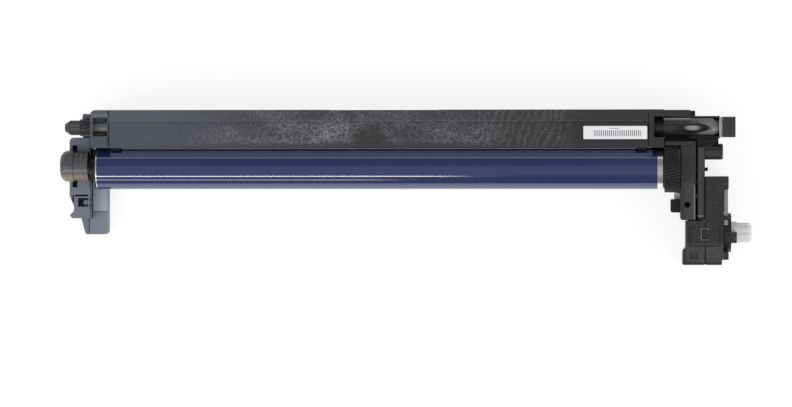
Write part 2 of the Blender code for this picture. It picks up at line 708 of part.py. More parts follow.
def blade_bracket(parent, finish):
    """Folded steel: a flat leg on the ledges, a slope above the drum and a leg that holds the blade."""
    top, inner = BRACKET_TOP_Z, BRACKET_TOP_Z - BRACKET_THICKNESS
    back = BRACKET_Y0 + BRACKET_WIDTH
    low = top - BRACKET_DROP
    bend = top - BRACKET_SLOPE
    fold = BRACKET_Y0 + BRACKET_SLOPE * tan(BRACKET_LEAN)
    wall = BRACKET_THICKNESS
    outline = [(BRACKET_Y0, bend), (BRACKET_Y0, low), (BRACKET_Y0 + wall, low), (BRACKET_Y0 + wall, bend),
               (fold + wall * 0.7, inner), (back, inner), (back, top), (fold, top)]
    shape = extruded(outline, TROUGH_X0 + SEAT_GAP, TROUGH_X1 - SEAT_GAP, "x")
    bracket = mesh_object("blade_bracket", shape, finish, parent)
    ears = block((TROUGH_X0 - LEDGE_LENGTH, fold, inner), (TROUGH_X1 + LEDGE_LENGTH, back, top))
    add(bracket, ears)
    for x in screw_places():
        hole = rod(-top, top, SCREW_SHANK_RADIUS + BORE_GAP, 12)
        cut(bracket, upright(hole, (x, SCREW_Y, top)))


def pad_places():
    return TROUGH_X0 - PAD_WIDTH - SEAT_GAP, TROUGH_X1 + SEAT_GAP


def screw_places():
    return TROUGH_X0 - LEDGE_LENGTH / 2, TROUGH_X1 + LEDGE_LENGTH / 2


def pad_shape(x, margin):
    """Felt pad that wraps part of the drum's end; with a margin it is the recess for the pad."""
    inner = DRUM_RADIUS + RUN_GAP - margin
    outer = DRUM_RADIUS + RUN_GAP + PAD_THICKNESS + margin
    spare = margin / inner
    start, end = PAD_ANGLES[0] - spare, PAD_ANGLES[1] + spare
    outline = arc((0, 0), outer, start, end, 6) + arc((0, 0), inner, end, start, 6)
    return extruded(outline, x - margin, x + PAD_WIDTH + margin, "x")


# Charge roller and wiper

def roller_set(root, charge_axis, wiper_axis, steel, rubber, foam, plastic):
    x0, x1 = CAVITY_X0 + TRAY_WALL, CAVITY_X1 - TRAY_WALL
    mesh_object("charge_roller_shaft", rod(x0, x1, CHARGE_SHAFT_RADIUS, 20), steel, charge_axis, smooth=40)
    sleeve = tube(CHARGE_X0, CHARGE_X1, CHARGE_SHAFT_RADIUS + SEAT_GAP, CHARGE_RADIUS, 28)
    mesh_object("charge_roller_sleeve", sleeve, rubber, charge_axis, smooth=40)
    mesh_object("wiper_roller_shaft", rod(x0, x1, WIPER_SHAFT_RADIUS, 14), steel, wiper_axis, smooth=40)
    sponge = tube(CHARGE_X0, CHARGE_X1, WIPER_SHAFT_RADIUS + SEAT_GAP, WIPER_RADIUS, 20)
    mesh_object("wiper_roller_foam", sponge, foam, wiper_axis, smooth=40)
    for end, x in (("front", CAVITY_X0 + SEAT_GAP), ("rear", CAVITY_X1 - SEAT_GAP - BEARING_WIDTH)):
        charge_bearing(f"charge_bearing_{end}", x, root, plastic)
        charge_spring(f"charge_spring_{end}", x + BEARING_WIDTH / 2, root, steel)
        wiper_bearing(f"wiper_bearing_{end}", x, root, plastic)


def charge_bearing(name, x, parent, finish):
    """Slides up and down on its spring; the shaft drops in through the slot at its top."""
    low = (x, CHARGE_Y - BEARING_HALF, CHARGE_BEARING_Z)
    high = (x + BEARING_WIDTH, CHARGE_Y + BEARING_HALF, CHARGE_Z + CHARGE_SHAFT_RADIUS)
    bearing = mesh_object(name, block(low, high), finish, parent)
    x0, x1 = x - SEAT_GAP, x + BEARING_WIDTH + SEAT_GAP
    bore = rod(x0, x1, CHARGE_SHAFT_RADIUS + BORE_GAP, 20)
    slot = block((x0, -CHARGE_SHAFT_RADIUS, 0), (x1, CHARGE_SHAFT_RADIUS, BEARING_HALF * 2))
    cut(bearing, bore, slot, place=(0, CHARGE_Y, CHARGE_Z))


def charge_spring(name, x, parent, finish):
    height = CHARGE_BEARING_Z - CAVITY_FLOOR_Z - 2 * SEAT_GAP
    spring = mesh_object(name, coil(SPRING_RADIUS, SPRING_WIRE, height, SPRING_TURNS), finish, parent)
    spring.location = (x, CHARGE_Y, CAVITY_FLOOR_Z + SEAT_GAP)


def wiper_bearing(name, x, parent, finish):
    low = (x, CHARGE_Y + BEARING_HALF + SEAT_GAP, CAVITY_FLOOR_Z + SEAT_GAP)
    high = (x + BEARING_WIDTH, WIPER_Y + WIPER_RADIUS, WIPER_Z + WIPER_RADIUS - SEAT_GAP)
    holder = mesh_object(name, block(low, high), finish, parent)
    bore = rod(x - SEAT_GAP, x + BEARING_WIDTH + SEAT_GAP, WIPER_SHAFT_RADIUS + BORE_GAP, 14)
    cut(holder, bore, place=(0, WIPER_Y, WIPER_Z))


# Drum

def drum_set(axis, coated, plastic, gear_plastic, steel):
    tube_shape = tube(DRUM_X0, DRUM_X1, DRUM_RADIUS - DRUM_WALL, DRUM_RADIUS, 48)
    mesh_object("drum_tube", tube_shape, coated, axis, smooth=40)
    stub = DRUM_RADIUS - DRUM_WALL - SEAT_GAP
    bore = SHAFT_RADIUS + SEAT_GAP
    rim = DRUM_RADIUS - DRUM_WALL / 2
    hub = rim / 2
    disc_x = DRUM_X0 - FLANGE_DISC
    hub_x = BRACKET_X1 + RUN_GAP
    profile = [(DRUM_X0 + FLANGE_STUB_LENGTH, bore), (DRUM_X0 + FLANGE_STUB_LENGTH, stub),
               (DRUM_X0 - SEAT_GAP, stub), (DRUM_X0 - SEAT_GAP, rim), (disc_x, rim), (disc_x, hub),
               (hub_x, hub), (hub_x, bore)]
    mesh_object("front_flange", turned(profile, 32, closed=True), plastic, axis, smooth=40)
    drum_gear(axis, gear_plastic, stub, rim, bore)
    tip_x = OUTER_PLATE_X1 - SEAT_GAP
    start = FRONT_END_X + CAP_CORNER / 4
    profile = [(start, 0), (start, SHAFT_RADIUS), (tip_x, SHAFT_RADIUS), (tip_x, SHAFT_TIP_RADIUS),
               (SHAFT_TIP_X, SHAFT_TIP_RADIUS), (SHAFT_TIP_X, 0)]
    mesh_object("drum_shaft", turned(profile, 20), steel, axis, smooth=40)


def drum_gear(axis, finish, stub, rim, bore):
    """Helical gear with the stub that is pressed into the drum; one tooth stands in the mesh plane."""
    twist = tan(HELIX_ANGLE) / DRUM_GEAR_RADIUS
    phase = COUNTER_ANGLE - twist * ((PINION_X0 + PINION_X1) / 2 - DRUM_GEAR_X0)
    teeth = gear(DRUM_GEAR_TEETH, DRUM_GEAR_MODULE, DRUM_GEAR_X0, DRUM_GEAR_X1, phase, twist, 3)
    wheel = mesh_object("drum_gear", teeth, finish, axis, smooth=25)
    stub_x = DRUM_X1 - FLANGE_STUB_LENGTH
    seat_x, inside_x = DRUM_X1 + SEAT_GAP, DRUM_GEAR_X0 + SEAT_GAP
    profile = [(stub_x, 0), (stub_x, stub), (seat_x, stub), (seat_x, rim), (inside_x, rim), (inside_x, 0)]
    add(wheel, turned(profile, 32))
    cut(wheel, rod(DRUM_X0, OUTER_PLATE_X1, bore, 24))


# Auger

def auger_screw(axis, finish):
    """Flight and core swept together along the helix, so consecutive turns share their edge."""
    shape = bmesh.new()
    count = AUGER_STEPS * AUGER_TURNS
    slope = AUGER_FLIGHT * 0.6
    offsets = ((0, 0), (slope, 1), (slope + AUGER_FLIGHT * 0.6, 1), (2 * slope + AUGER_FLIGHT * 0.6, 0))
    x_start = TROUGH_X0 + AUGER_FLIGHT
    advance = AUGER_PITCH / AUGER_STEPS
    rows = []
    for i in range(count + 1):
        angle = 2 * pi * i / AUGER_STEPS
        fade = min(1, i / AUGER_STEPS * 2, (count - i) / AUGER_STEPS * 2)
        row = []
        for offset, height in offsets:
            reach = AUGER_CORE_RADIUS + (AUGER_RADIUS - AUGER_CORE_RADIUS) * height * fade
            x = x_start + advance * i + offset
            row.append(shape.verts.new((x, reach * cos(angle), reach * sin(angle))))
        rows.append(row)
    for i in range(count):
        for k in range(len(offsets) - 1):
            shape.faces.new((rows[i][k], rows[i][k + 1], rows[i + 1][k + 1], rows[i + 1][k]))
    for i in range(count - AUGER_STEPS):
        ahead = i + AUGER_STEPS
        shape.faces.new((rows[i][-1], rows[ahead][0], rows[ahead + 1][0], rows[i + 1][-1]))
    first = [rows[i][0] for i in range(AUGER_STEPS + 1)]
    last = [rows[count - AUGER_STEPS + i][-1] for i in range(AUGER_STEPS + 1)]
    close_auger_end(shape, first, rows[0], front_journal(), True)
    close_auger_end(shape, last, rows[count], rear_journal(), False)
    return mesh_object("auger_screw", shape, finish, axis, smooth=50)


def front_journal():
    gear_end = BAR_X0 - SEAT_GAP - AUGER_GEAR_FACE
    return [(TROUGH_X0 - BORE_GAP, AUGER_CORE_RADIUS), (TROUGH_X0 - BORE_GAP, AUGER_JOURNAL_RADIUS),
            (BAR_X0 + SEAT_GAP, AUGER_JOURNAL_RADIUS), (BAR_X0 + SEAT_GAP, AUGER_CORE_RADIUS),
            (gear_end, AUGER_CORE_RADIUS)]


def rear_journal():
    return [(PIPE_X1, AUGER_CORE_RADIUS)]


def close_auger_end(shape, helix, seam, profile, near):
    """Joins the helical edge of the sweep to plain rings, which end in a flat face."""
    rings = []
    for x, radius in profile:
        turn = [2 * pi * k / AUGER_STEPS for k in range(AUGER_STEPS)]
        rings.append([shape.verts.new((x, radius * cos(a), radius * sin(a))) for a in turn])
    first = rings[0]
    for k in range(AUGER_STEPS):
        corners = [first[k], first[(k + 1) % AUGER_STEPS]]
        if near and k == AUGER_STEPS - 1:
            corners += seam
        corners += [helix[k + 1], helix[k]]
        if not near and k == 0:
            corners += seam
        shape.faces.new(corners)
    for one, two in zip(rings, rings[1:]):
        for k in range(AUGER_STEPS):
            j = (k + 1) % AUGER_STEPS
            shape.faces.new((one[k], one[j], two[j], two[k]))
    shape.faces.new(rings[-1])


def auger_gear(axis, finish):
    """Helical gear and fluted knob in one moulding, pressed on the auger's front end."""
    x1 = BAR_X0 - SEAT_GAP
    x0 = x1 - AUGER_GEAR_FACE
    twist = -tan(HELIX_ANGLE) / (AUGER_GEAR_TEETH * AUGER_GEAR_MODULE / 2)
    teeth = gear(AUGER_GEAR_TEETH, AUGER_GEAR_MODULE, x0, x1, 0, twist, 2)
    wheel = mesh_object("auger_gear", teeth, finish, axis, smooth=25)
    tip_x = x0 - KNOB_LENGTH
    taper_x = tip_x + KNOB_LENGTH * 0.35
    knob = fluted(x0 + SEAT_GAP, tip_x, KNOB_RADIUS, KNOB_RADIUS * 0.12, KNOB_FLUTES, taper_x, KNOB_RADIUS / 2)
    add(wheel, knob)
    cut(wheel, rod(x0 - SEAT_GAP, x1 + SEAT_GAP, AUGER_CORE_RADIUS + SEAT_GAP, 16))


# Front end

def front_bracket(parent, finish):
    x0, x1 = BRACKET_X0, BRACKET_X1
    nose_y = BRACKET_TAIL_Y
    outline = rounded(
        [(x1, BRACKET_Y1), (x0, BRACKET_Y1), (x0, nose_y + 0.0137), (x0 + 0.0027, nose_y + 0.0073),
         (x0 + 0.0027, nose_y + 0.0046), (x0, nose_y + 0.0018), (x0 + 0.0018, nose_y), (x1, nose_y)],
        [0, 0.0025, 0.0020, 0.0010, 0.0010, 0.0004, 0.0006, 0])
    bracket = mesh_object("front_bracket", extruded(outline, FLOOR_Z, BRACKET_ZTOP, "z"), finish, parent)
    soften(bracket, 0.0004, 1)
    tail_x0 = x0 + 0.0059
    tail = [(tail_x0, nose_y + SEAT_GAP), (tail_x0 + 0.0024, LEG_Y0 + 0.0010), (tail_x0 + 0.0034, LEG_Y0),
            (TAIL_X1, LEG_Y0), (TAIL_X1, nose_y + SEAT_GAP)]
    add(bracket, extruded(tail, FLOOR_Z, LEG_TOP_Z, "z"), *auger_guard())
    step_x = FRONT_END_X + CAP_LENGTH
    spare = CAP_CORNER
    cap_room, neck_room = CAP_RADIUS + SEAT_GAP, NECK_RADIUS + SEAT_GAP
    seat = [(x0 - spare, 0), (x0 - spare, cap_room), (step_x + SEAT_GAP, cap_room),
            (step_x + SEAT_GAP, neck_room), (x1 + spare, neck_room), (x1 + spare, 0)]
    cut(bracket, turned(seat, 36), place=(0, CAP_OFFSET, 0))
    high = CAP_RADIUS
    lock_x = x0 + 0.0018
    for y0, y1 in LOCK_ROOMS:
        cut(bracket, block((lock_x, y0, LEG_TOP_Z), (lock_x + LOCK_WIDTH, y1, high)))
    y0, y1 = PIN_ROOM_Y
    room = block((lock_x + 0.0034, y0, LEG_TOP_Z), (x1 - 0.0012, y1, high))
    side_slot = block((lock_x, y0 + 0.0028, LEG_TOP_Z), (lock_x + 0.0009, y1 + 0.0018, high))
    top_slot = block((lock_x + 0.0014, y1 + 0.0010, LEG_TOP_Z), (x1 - 0.0012, y1 + 0.0021, high))
    notches = []
    for y in (y0, y1 - NOTCH_WIDTH):
        notches.append(block((x1 - NOTCH_WIDTH / 2, y, LEG_TOP_Z), (x1 + spare, y + NOTCH_WIDTH, high)))
    cut(bracket, room, side_slot, top_slot, *notches)
    pin_place = (x1 - 0.0012 - PIN_RADIUS, (y0 + y1) / 2, 0)
    add(bracket, upright(rod(-BRACKET_ZTOP + 0.0015, -LEG_TOP_Z + 0.0015, PIN_RADIUS, 16), pin_place))


def auger_guard():
    """Shelf under the auger's gear, with the tab that stands behind it."""
    x0 = BAR_X0 - AUGER_GEAR_FACE
    x1 = BRACKET_X1 - SEAT_GAP
    low = AUGER_Z - KNOB_RADIUS * 2
    shelf = block((x0, BRACKET_Y1 - 0.0035, low - 0.0030), (x1, GUARD_TAB_Y1, low))
    tab_y0 = AUGER_Y + KNOB_RADIUS + 0.0011
    plan = [(x0, tab_y0), (x0 + 0.0008, GUARD_TAB_Y1), (x1 - 0.0010, GUARD_TAB_Y1), (x1, tab_y0)]
    return shelf, extruded(plan, low - 0.0010, BRACKET_ZTOP, "z")


def front_bearing_cap(parent, finish):
    """Bearing cap whose outside is offset from its bore, with a ribbed neck behind the round nose."""
    start = FRONT_END_X
    end = BRACKET_X1 - SEAT_GAP
    nose = arc((start + CAP_CORNER, CAP_RADIUS - CAP_CORNER), CAP_CORNER, pi, pi / 2, 6)
    shoulder = start + CAP_LENGTH
    profile = [(start, 0)] + nose + [(shoulder, CAP_RADIUS), (shoulder, NECK_RADIUS)]
    rib = (end - shoulder - SEAT_GAP) / (2 * CAP_RIBS)
    for number in range(CAP_RIBS):
        x = shoulder + SEAT_GAP + 2 * rib * number
        low = NECK_RADIUS - SEAT_GAP
        profile += [(x, NECK_RADIUS), (x + rib / 2, low), (x + rib, low), (x + 1.5 * rib, NECK_RADIUS)]
    profile += [(end, NECK_RADIUS), (end, 0)]
    cap = mesh_object("front_bearing_cap", turned(profile, 28), finish, parent, smooth=35)
    cap.location = (0, CAP_OFFSET, 0)
    cut(cap, rod(start - SEAT_GAP, end + SEAT_GAP, SHAFT_RADIUS + BORE_GAP, 20))


def front_leg(parent, finish):
    x0, tail_x0 = BRACKET_X1 + SEAT_GAP, TAIL_X1 + SEAT_GAP
    back = BAR_Y0 - SEAT_GAP
    corners = [(x0, back), (x0, BRACKET_TAIL_Y), (tail_x0, BRACKET_TAIL_Y), (tail_x0, LEG_Y0),
               (LEG_X1, LEG_Y0), (LEG_X1, back)]
    outline = rounded(corners, [0, 0, 0, 0.0006, LEG_CORNER, 0])
    leg = mesh_object("front_leg", extruded(outline, FLOOR_Z, LEG_TOP_Z, "z"), finish, parent)
    soften(leg, 0.0005)
    for y, drop in LEG_STEPS:
        cut(leg, block((tail_x0 - LEG_CORNER, LEG_Y0 - LEG_CORNER, LEG_TOP_Z - drop),
                       (LEG_X1 + LEG_CORNER, y, LEG_TOP_Z + LEG_CORNER)))
    middle_y = (LEG_Y0 + BAR_Y0) / 2
    rooms = ((LEG_Y0 + LEG_WALL, middle_y - LEG_WALL / 2), (middle_y + LEG_WALL / 2, back - LEG_WALL))
    for y0, y1 in rooms:
        cut(leg, block((x0 + LEG_WALL, y0, FLOOR_Z - LEG_WALL),
                       (LEG_X1 - LEG_WALL, y1, LEG_TOP_Z - LEG_WALL * 1.5)))


# Rear end

def rear_plate(parent, finish):
    x0, x1 = REAR_PLATE_X0, REAR_PLATE_X1
    corners = [(x0, REAR_PLATE_Y1), (x0, REAR_PLATE_Y0), (x1, REAR_PLATE_Y0), (x1, REAR_PLATE_Y1)]
    outline = rounded(corners, [0, 0.0015, 0, 0])
    plate = mesh_object("rear_plate", extruded(outline, FLOOR_Z, REAR_PLATE_ZTOP, "z"), finish, parent)
    soften(plate, 0.0004, 1)
    foot_x0 = BAR_X1 + SEAT_GAP
    foot_top = SHUTTER_SPRING_Z - SHUTTER_SPRING_RADIUS - SPRING_WIRE - 3 * SEAT_GAP
    gear_top = DRUM_GEAR_RADIUS + ADDENDUM * DRUM_GEAR_MODULE
    foot_y = gear_top + 0.0010
    foot = block((foot_x0, foot_y, FLOOR_Z), (x1, BAR_Y1 - SEAT_GAP, foot_top))
    low_foot = block((foot_x0, 0, FLOOR_Z), (x1, foot_y + SEAT_GAP, -gear_top - 0.0008))
    side = x0 + 0.0010
    corners = [(GUARD_X0, GUARD_Y1), (GUARD_X0, GUARD_Y0), (side, GUARD_Y0), (side, GUARD_Y1)]
    guard = extruded(rounded(corners, [0.0008, 0.0012, 0, 0]), FLOOR_Z, GUARD_ZTOP, "z")
    lip = block((x1 - SEAT_GAP, REAR_PLATE_Y0 + 0.0040, FLOOR_Z),
                (OUTER_PLATE_X0 - SEAT_GAP, BAR_Y1 - LIP_SETBACK, FLOOR_Z + JOINT_STEP))
    add(plate, foot, low_foot, guard, lip)
    pinion_room = PINION_RADIUS + ADDENDUM * DRUM_GEAR_MODULE + 2 * SEAT_GAP
    pinion_cut = rod(PINION_X0 - SEAT_GAP, x0 + SEAT_GAP, pinion_room, 28)
    shaft_bore = rod(GUARD_X0, OUTER_PLATE_X0, COUNTER_SHAFT_RADIUS + BORE_GAP, 16)
    cut(plate, pinion_cut, shaft_bore, place=(0, COUNTER_Y, COUNTER_Z))
    cut(plate, rod(x0 - SEAT_GAP, OUTER_PLATE_X0, SHAFT_RADIUS + BORE_GAP, 20), base_lip_room())
    hole = rod(-REAR_PLATE_ZTOP - SEAT_GAP, REAR_HOLE_DEPTH - REAR_PLATE_ZTOP, REAR_HOLE_RADIUS, 16)
    cut(plate, upright(hole, ((x0 + x1) / 2 - 0.0005, REAR_HOLE_Y, 0)))


def base_lip_room():
    """Room under the plates for the lip of the gearbox base."""
    y1 = REAR_PLATE_Y0 + JOINT_STEP + SEAT_GAP
    return block((REAR_PLATE_X0 - JOINT_STEP, REAR_PLATE_Y0 - JOINT_STEP, FLOOR_Z - JOINT_STEP),
                 (OUTER_PLATE_X1 + JOINT_STEP, y1, FLOOR_Z + JOINT_STEP + SEAT_GAP))


def outer_plate(parent, finish):
    x0, x1 = OUTER_PLATE_X0, OUTER_PLATE_X1
    corners = [(x0, OUTER_PLATE_Y1), (x0, REAR_PLATE_Y0), (x1, REAR_PLATE_Y0), (x1, OUTER_PLATE_Y1)]
    outline = rounded(corners, [0.0005, 0, 0, 0])
    plate = mesh_object("outer_plate", extruded(outline, FLOOR_Z, OUTER_PLATE_ZTOP, "z"), finish, parent)
    soften(plate, 0.0003, 1)
    add(plate, *pipe_cradle(), *seam_ledges())
    bevel = SEAT_GAP * 2
    boss = [(x1 - 0.0010, 0), (x1 - 0.0010, SIDE_BOSS_RADIUS), (SIDE_BOSS_X1 - bevel, SIDE_BOSS_RADIUS),
            (SIDE_BOSS_X1, SIDE_BOSS_RADIUS - bevel), (SIDE_BOSS_X1, 0)]
    add(plate, turned(boss, 24), place=(0, SIDE_BOSS_Y, 0))
    for y, z in PLATE_STUDS:
        add(plate, rod(REAR_PLATE_X1 + SEAT_GAP, x0 + SEAT_GAP, STUD_RADIUS, 16), place=(0, y, z))
    counter_bore = rod(REAR_PLATE_X1, x1 + SEAT_GAP, COUNTER_SHAFT_RADIUS + BORE_GAP, 16)
    cut(plate, counter_bore, place=(0, COUNTER_Y, COUNTER_Z))
    cut(plate, rod(REAR_PLATE_X1, x1 + SEAT_GAP, SHAFT_RADIUS + BORE_GAP, 20), base_lip_room())


def pipe_cradle():
    """Web and floor that carry the outlet pipe; the shutter slides between them and the pipe."""
    x0, x1 = OUTER_PLATE_X0, OUTER_PLATE_X1
    y0, y1 = OUTER_PLATE_Y1 - 0.0010, AUGER_Y - PIPE_RADIUS - SEAT_GAP * 2 - SHUTTER_WALL
    slope = [(x1 - 0.0005, y0 - 0.0018), (x1 + WEB_TOE[0], y1 - WEB_TOE[1]), (x1 + WEB_LENGTH, y1)]
    web = extruded([(x0, y0)] + slope + [(x0, y1)], AUGER_Z - 0.0040, AUGER_Z + 0.0020, "z")
    top = CRADLE_TOP_Z
    floor = block((x0, y0, top - CRADLE_THICKNESS), (x1 + WEB_LENGTH, AUGER_Y - 0.0030, top))
    join = block((x0, y0, top - CRADLE_THICKNESS), (x1 + WEB_TOE[0], y1 - WEB_TOE[1], AUGER_Z - 0.0030))
    return web, floor, join


def seam_ledges():
    """Ledges that reach over the rear plate's lip, so that no light comes through the seam."""
    x0, x1 = REAR_PLATE_X1 + SEAT_GAP, OUTER_PLATE_X0 + SEAT_GAP
    low = FLOOR_Z + JOINT_STEP + SEAT_GAP
    ledge = block((x0, REAR_PLATE_Y0, low), (x1, OUTER_PLATE_Y1 - SEAT_GAP, low + JOINT_STEP))
    back = block((x0, OUTER_PLATE_Y1 - 0.0010, CRADLE_TOP_Z - CRADLE_THICKNESS),
                 (x1, AUGER_Y - 0.0030, CRADLE_TOP_Z))
    return ledge, back


# Gearbox

def gearbox(parent, finish):
    """Two half shells: the base behind the rear plates and the housing that holds the gears."""
    housing = gearbox_housing(parent, finish)
    base = gearbox_base(parent, finish)
    recess_x0, recess_x1 = BOX_X0 + BOX_WALL, BOX_X1 - BOX_WALL
    y0, y1 = RECESS_Y
    corners = [(recess_x0, y0), (recess_x0, y1), (recess_x1, y1), (recess_x1, y0)]
    top = BOX_ZTOP - BOX_RECESS
    for owner in (housing, base):
        cut(owner, extruded(rounded(corners, [0.0015, 0.0015, 0, 0]), top, BOX_ZTOP + BOX_RECESS, "z"))
        cut(owner, *latch_slots(top))


def latch_slots(top):
    """Slots round the snap latch that joins the two halves."""
    x0 = REAR_PLATE_X0 + LATCH_X
    x1 = x0 + LATCH_WIDTH
    y0, y1 = LATCH_Y
    low, high = top - BOX_RECESS, top + BOX_RECESS
    slots = [block((x0, y0, low), (x0 + LATCH_SLOT, y1, high))]
    for y in (y0, y1 - LATCH_SLOT):
        slots.append(block((x0, y, low), (x1, y + LATCH_SLOT, high)))
    return slots


def gearbox_housing(parent, finish):
    low_y0, low_y1 = BOX_LOW_BLOCK
    end_x = BOX_X1 - BOX_WALL / 2
    plan = [(BOX_SPLIT_X, BOX_Y1), (BOX_SHOULDER_X, BOX_Y1), (BOX_SHOULDER_X, BOX_SHOULDER_Y),
            (BOX_X1, BOX_SHOULDER_Y), (BOX_X1, low_y1), (BOX_SHOULDER_X, low_y1), (BOX_SHOULDER_X, low_y0),
            (end_x, low_y0), (end_x, BOX_Y0), (BOX_SPLIT_X, BOX_Y0)]
    housing = mesh_object("gearbox_housing", extruded(plan, FLOOR_Z, BOX_ZTOP, "z"), finish, parent)
    soften(housing, 0.0004, 1)
    clip_y0, clip_y1 = CLIP_Y
    strip_top = STRIP_Z + STRIP_THICKNESS + SEAT_GAP
    clip = block((BOX_X1 - BOX_WALL, clip_y0, strip_top),
                 (BOX_SHOULDER_X + BOX_WALL, clip_y1, strip_top + CLIP_HEIGHT))
    shelf = block((BOX_X1 - BOX_WALL, STRIP_SHELF_Y0, STRIP_Z - SEAT_GAP - STRIP_SHELF),
                  (BOX_SHOULDER_X - SEAT_GAP, BOX_SHOULDER_Y + SEAT_GAP, STRIP_Z - SEAT_GAP))
    add(housing, clip, shelf)
    cut(housing, block((BOX_SPLIT_X - BOX_WALL, RECESS_Y[1], BOX_ZTOP - BOX_STEP),
                       (end_x, BOX_STEP_Y, BOX_ZTOP + BOX_STEP)))
    wheels = ((COUNTER_RADIUS, COUNTER_Y, COUNTER_Z), (COUPLING_GEAR_RADIUS, COUPLING_Y, COUPLING_Z))
    for radius, y, z in wheels:
        room = rod(BOX_SPLIT_X - BOX_WALL, BOX_X1 - BOX_WALL, radius + BOX_GEAR_MODULE * 1.8, 32)
        cut(housing, room, place=(0, y, z))
    coupling_bore = rod(BOX_SPLIT_X, BOX_SHOULDER_X, COUPLING_SHAFT_RADIUS + BORE_GAP, 24)
    flange_room = rod(BOX_X1 + SEAT_GAP / 2, BOX_SHOULDER_X + BOX_WALL, FLANGE_RADIUS + SEAT_GAP, 40)
    cut(housing, coupling_bore, flange_room, place=(0, COUPLING_Y, COUPLING_Z))
    counter_bore = rod(BOX_SPLIT_X, end_x, COUNTER_SHAFT_RADIUS + BORE_GAP, 16)
    cut(housing, counter_bore, place=(0, COUNTER_Y, COUNTER_Z))
    return housing


def gearbox_base(parent, finish):
    x1 = BOX_SPLIT_X - SEAT_GAP
    y1 = REAR_PLATE_Y0 - SEAT_GAP
    plan = [(BOX_X0, y1), (BOX_X0, BOX_FOOT_Y + 0.0020), (BOX_FOOT_X, BOX_FOOT_Y), (BOX_FOOT_X, BOX_Y0),
            (x1, BOX_Y0), (x1, y1)]
    base = mesh_object("gearbox_base", extruded(plan, FLOOR_Z, BOX_ZTOP, "z"), finish, parent)
    soften(base, 0.0004, 1)
    lip = block((BOX_X0 + BOX_WALL, y1 - JOINT_STEP, FLOOR_Z),
                (x1, REAR_PLATE_Y0 + JOINT_STEP, FLOOR_Z + JOINT_STEP))
    add(base, lip)
    wall = BOX_WALL
    inside = block((BOX_X0 + wall, BOX_Y0 + wall, FLOOR_Z - wall),
                   (x1 - wall * 2, y1 - wall, BOX_ZTOP - wall * 2))
    bore = rod(x1 - wall, x1 + wall, COUPLING_SHAFT_RADIUS + BORE_GAP, 24)
    cut(base, inside)
    cut(base, bore, place=(0, COUPLING_Y, COUPLING_Z))
    pocket_x = REAR_PLATE_X0 + POCKET_X
    cut(base, block((pocket_x, POCKET_Y[0], BOX_ZTOP - BOX_RECESS),
                    (pocket_x + POCKET_WIDTH, POCKET_Y[1], BOX_ZTOP + BOX_RECESS)))
    return base


def coupling_flange(parent, finish):
    start = BOX_X1 + SEAT_GAP
    bore = COUPLING_RING_RADIUS + BORE_GAP
    ring = tube(start, start + FLANGE_LENGTH, bore, FLANGE_RADIUS, 40)
    flange = mesh_object("coupling_flange", ring, finish, parent, smooth=40)
    flange.location = (0, COUPLING_Y, COUPLING_Z)
    low_z = bore + SEAT_GAP
    add(flange, block((start + SEAT_GAP, LUG_Y[0], low_z), (LUG_X1, LUG_Y[1], low_z + LUG_HEIGHT)))
    flange.modifiers[-1].object.location = (0, COUPLING_Y, COUPLING_Z)


def earth_strip(parent, finish):
    low = (BOX_X1 + 2 * SEAT_GAP, STRIP_Y0, STRIP_Z)
    high = (BOX_SHOULDER_X - SEAT_GAP, BOX_SHOULDER_Y - SEAT_GAP, STRIP_Z + STRIP_THICKNESS)
    mesh_object("earth_strip", block(low, high), finish, parent)


def counter_set(axis, steel, white):
    end_x = BOX_X1 - BOX_WALL / 2 - SEAT_GAP
    shaft = rod(PINION_X0 - SEAT_GAP, end_x, COUNTER_SHAFT_RADIUS, 16)
    mesh_object("counter_shaft", shaft, steel, axis, smooth=40)
    bore = COUNTER_SHAFT_RADIUS + SEAT_GAP
    twist = -tan(HELIX_ANGLE) / PINION_RADIUS
    phase = COUNTER_ANGLE + pi + pi / PINION_TEETH - twist * (PINION_X1 - PINION_X0) / 2
    teeth = gear(PINION_TEETH, DRUM_GEAR_MODULE, PINION_X0, PINION_X1, phase, twist, 2)
    pinion = mesh_object("idler_pinion", teeth, white, axis, smooth=25)
    cut(pinion, rod(PINION_X0 - SEAT_GAP, PINION_X1 + SEAT_GAP, bore, 16))
    teeth = gear(COUNTER_TEETH, BOX_GEAR_MODULE, BOX_GEAR_X0, BOX_GEAR_X1, COUPLING_LINE, 0, 1)
    wheel = mesh_object("counter_gear", teeth, white, axis, smooth=25)
    cut(wheel, rod(BOX_GEAR_X0 - SEAT_GAP, BOX_X1, bore, 16))


def coupling_set(axis, white):
    phase = COUPLING_LINE + pi + pi / COUPLING_TEETH
    teeth = gear(COUPLING_TEETH, BOX_GEAR_MODULE, BOX_GEAR_X0, BOX_GEAR_X1, phase, 0, 1)
    wheel = mesh_object("coupling_gear", teeth, white, axis, smooth=25)
    cut(wheel, rod(BOX_GEAR_X0 - SEAT_GAP, BOX_X1, COUPLING_SHAFT_RADIUS + SEAT_GAP, 24))
    start, ring_x0 = BOX_SPLIT_X - BOX_WALL / 2, BOX_X1 + SEAT_GAP
    profile = [(start, 0), (start, COUPLING_SHAFT_RADIUS), (ring_x0, COUPLING_SHAFT_RADIUS),
               (ring_x0, COUPLING_RING_RADIUS), (COUPLING_RING_X, COUPLING_RING_RADIUS), (COUPLING_RING_X, 0)]
    dog = mesh_object("drive_coupling", turned(profile, 36), white, axis, smooth=40)
    taper_x = REAR_END_X - COUPLING_RADIUS * 0.3
    add(dog, fluted(COUPLING_RING_X - SEAT_GAP, REAR_END_X, COUPLING_RADIUS, COUPLING_RADIUS * 0.1,
                    COUPLING_FLUTES, taper_x, COUPLING_RADIUS * 0.75))


# Waste toner outlet

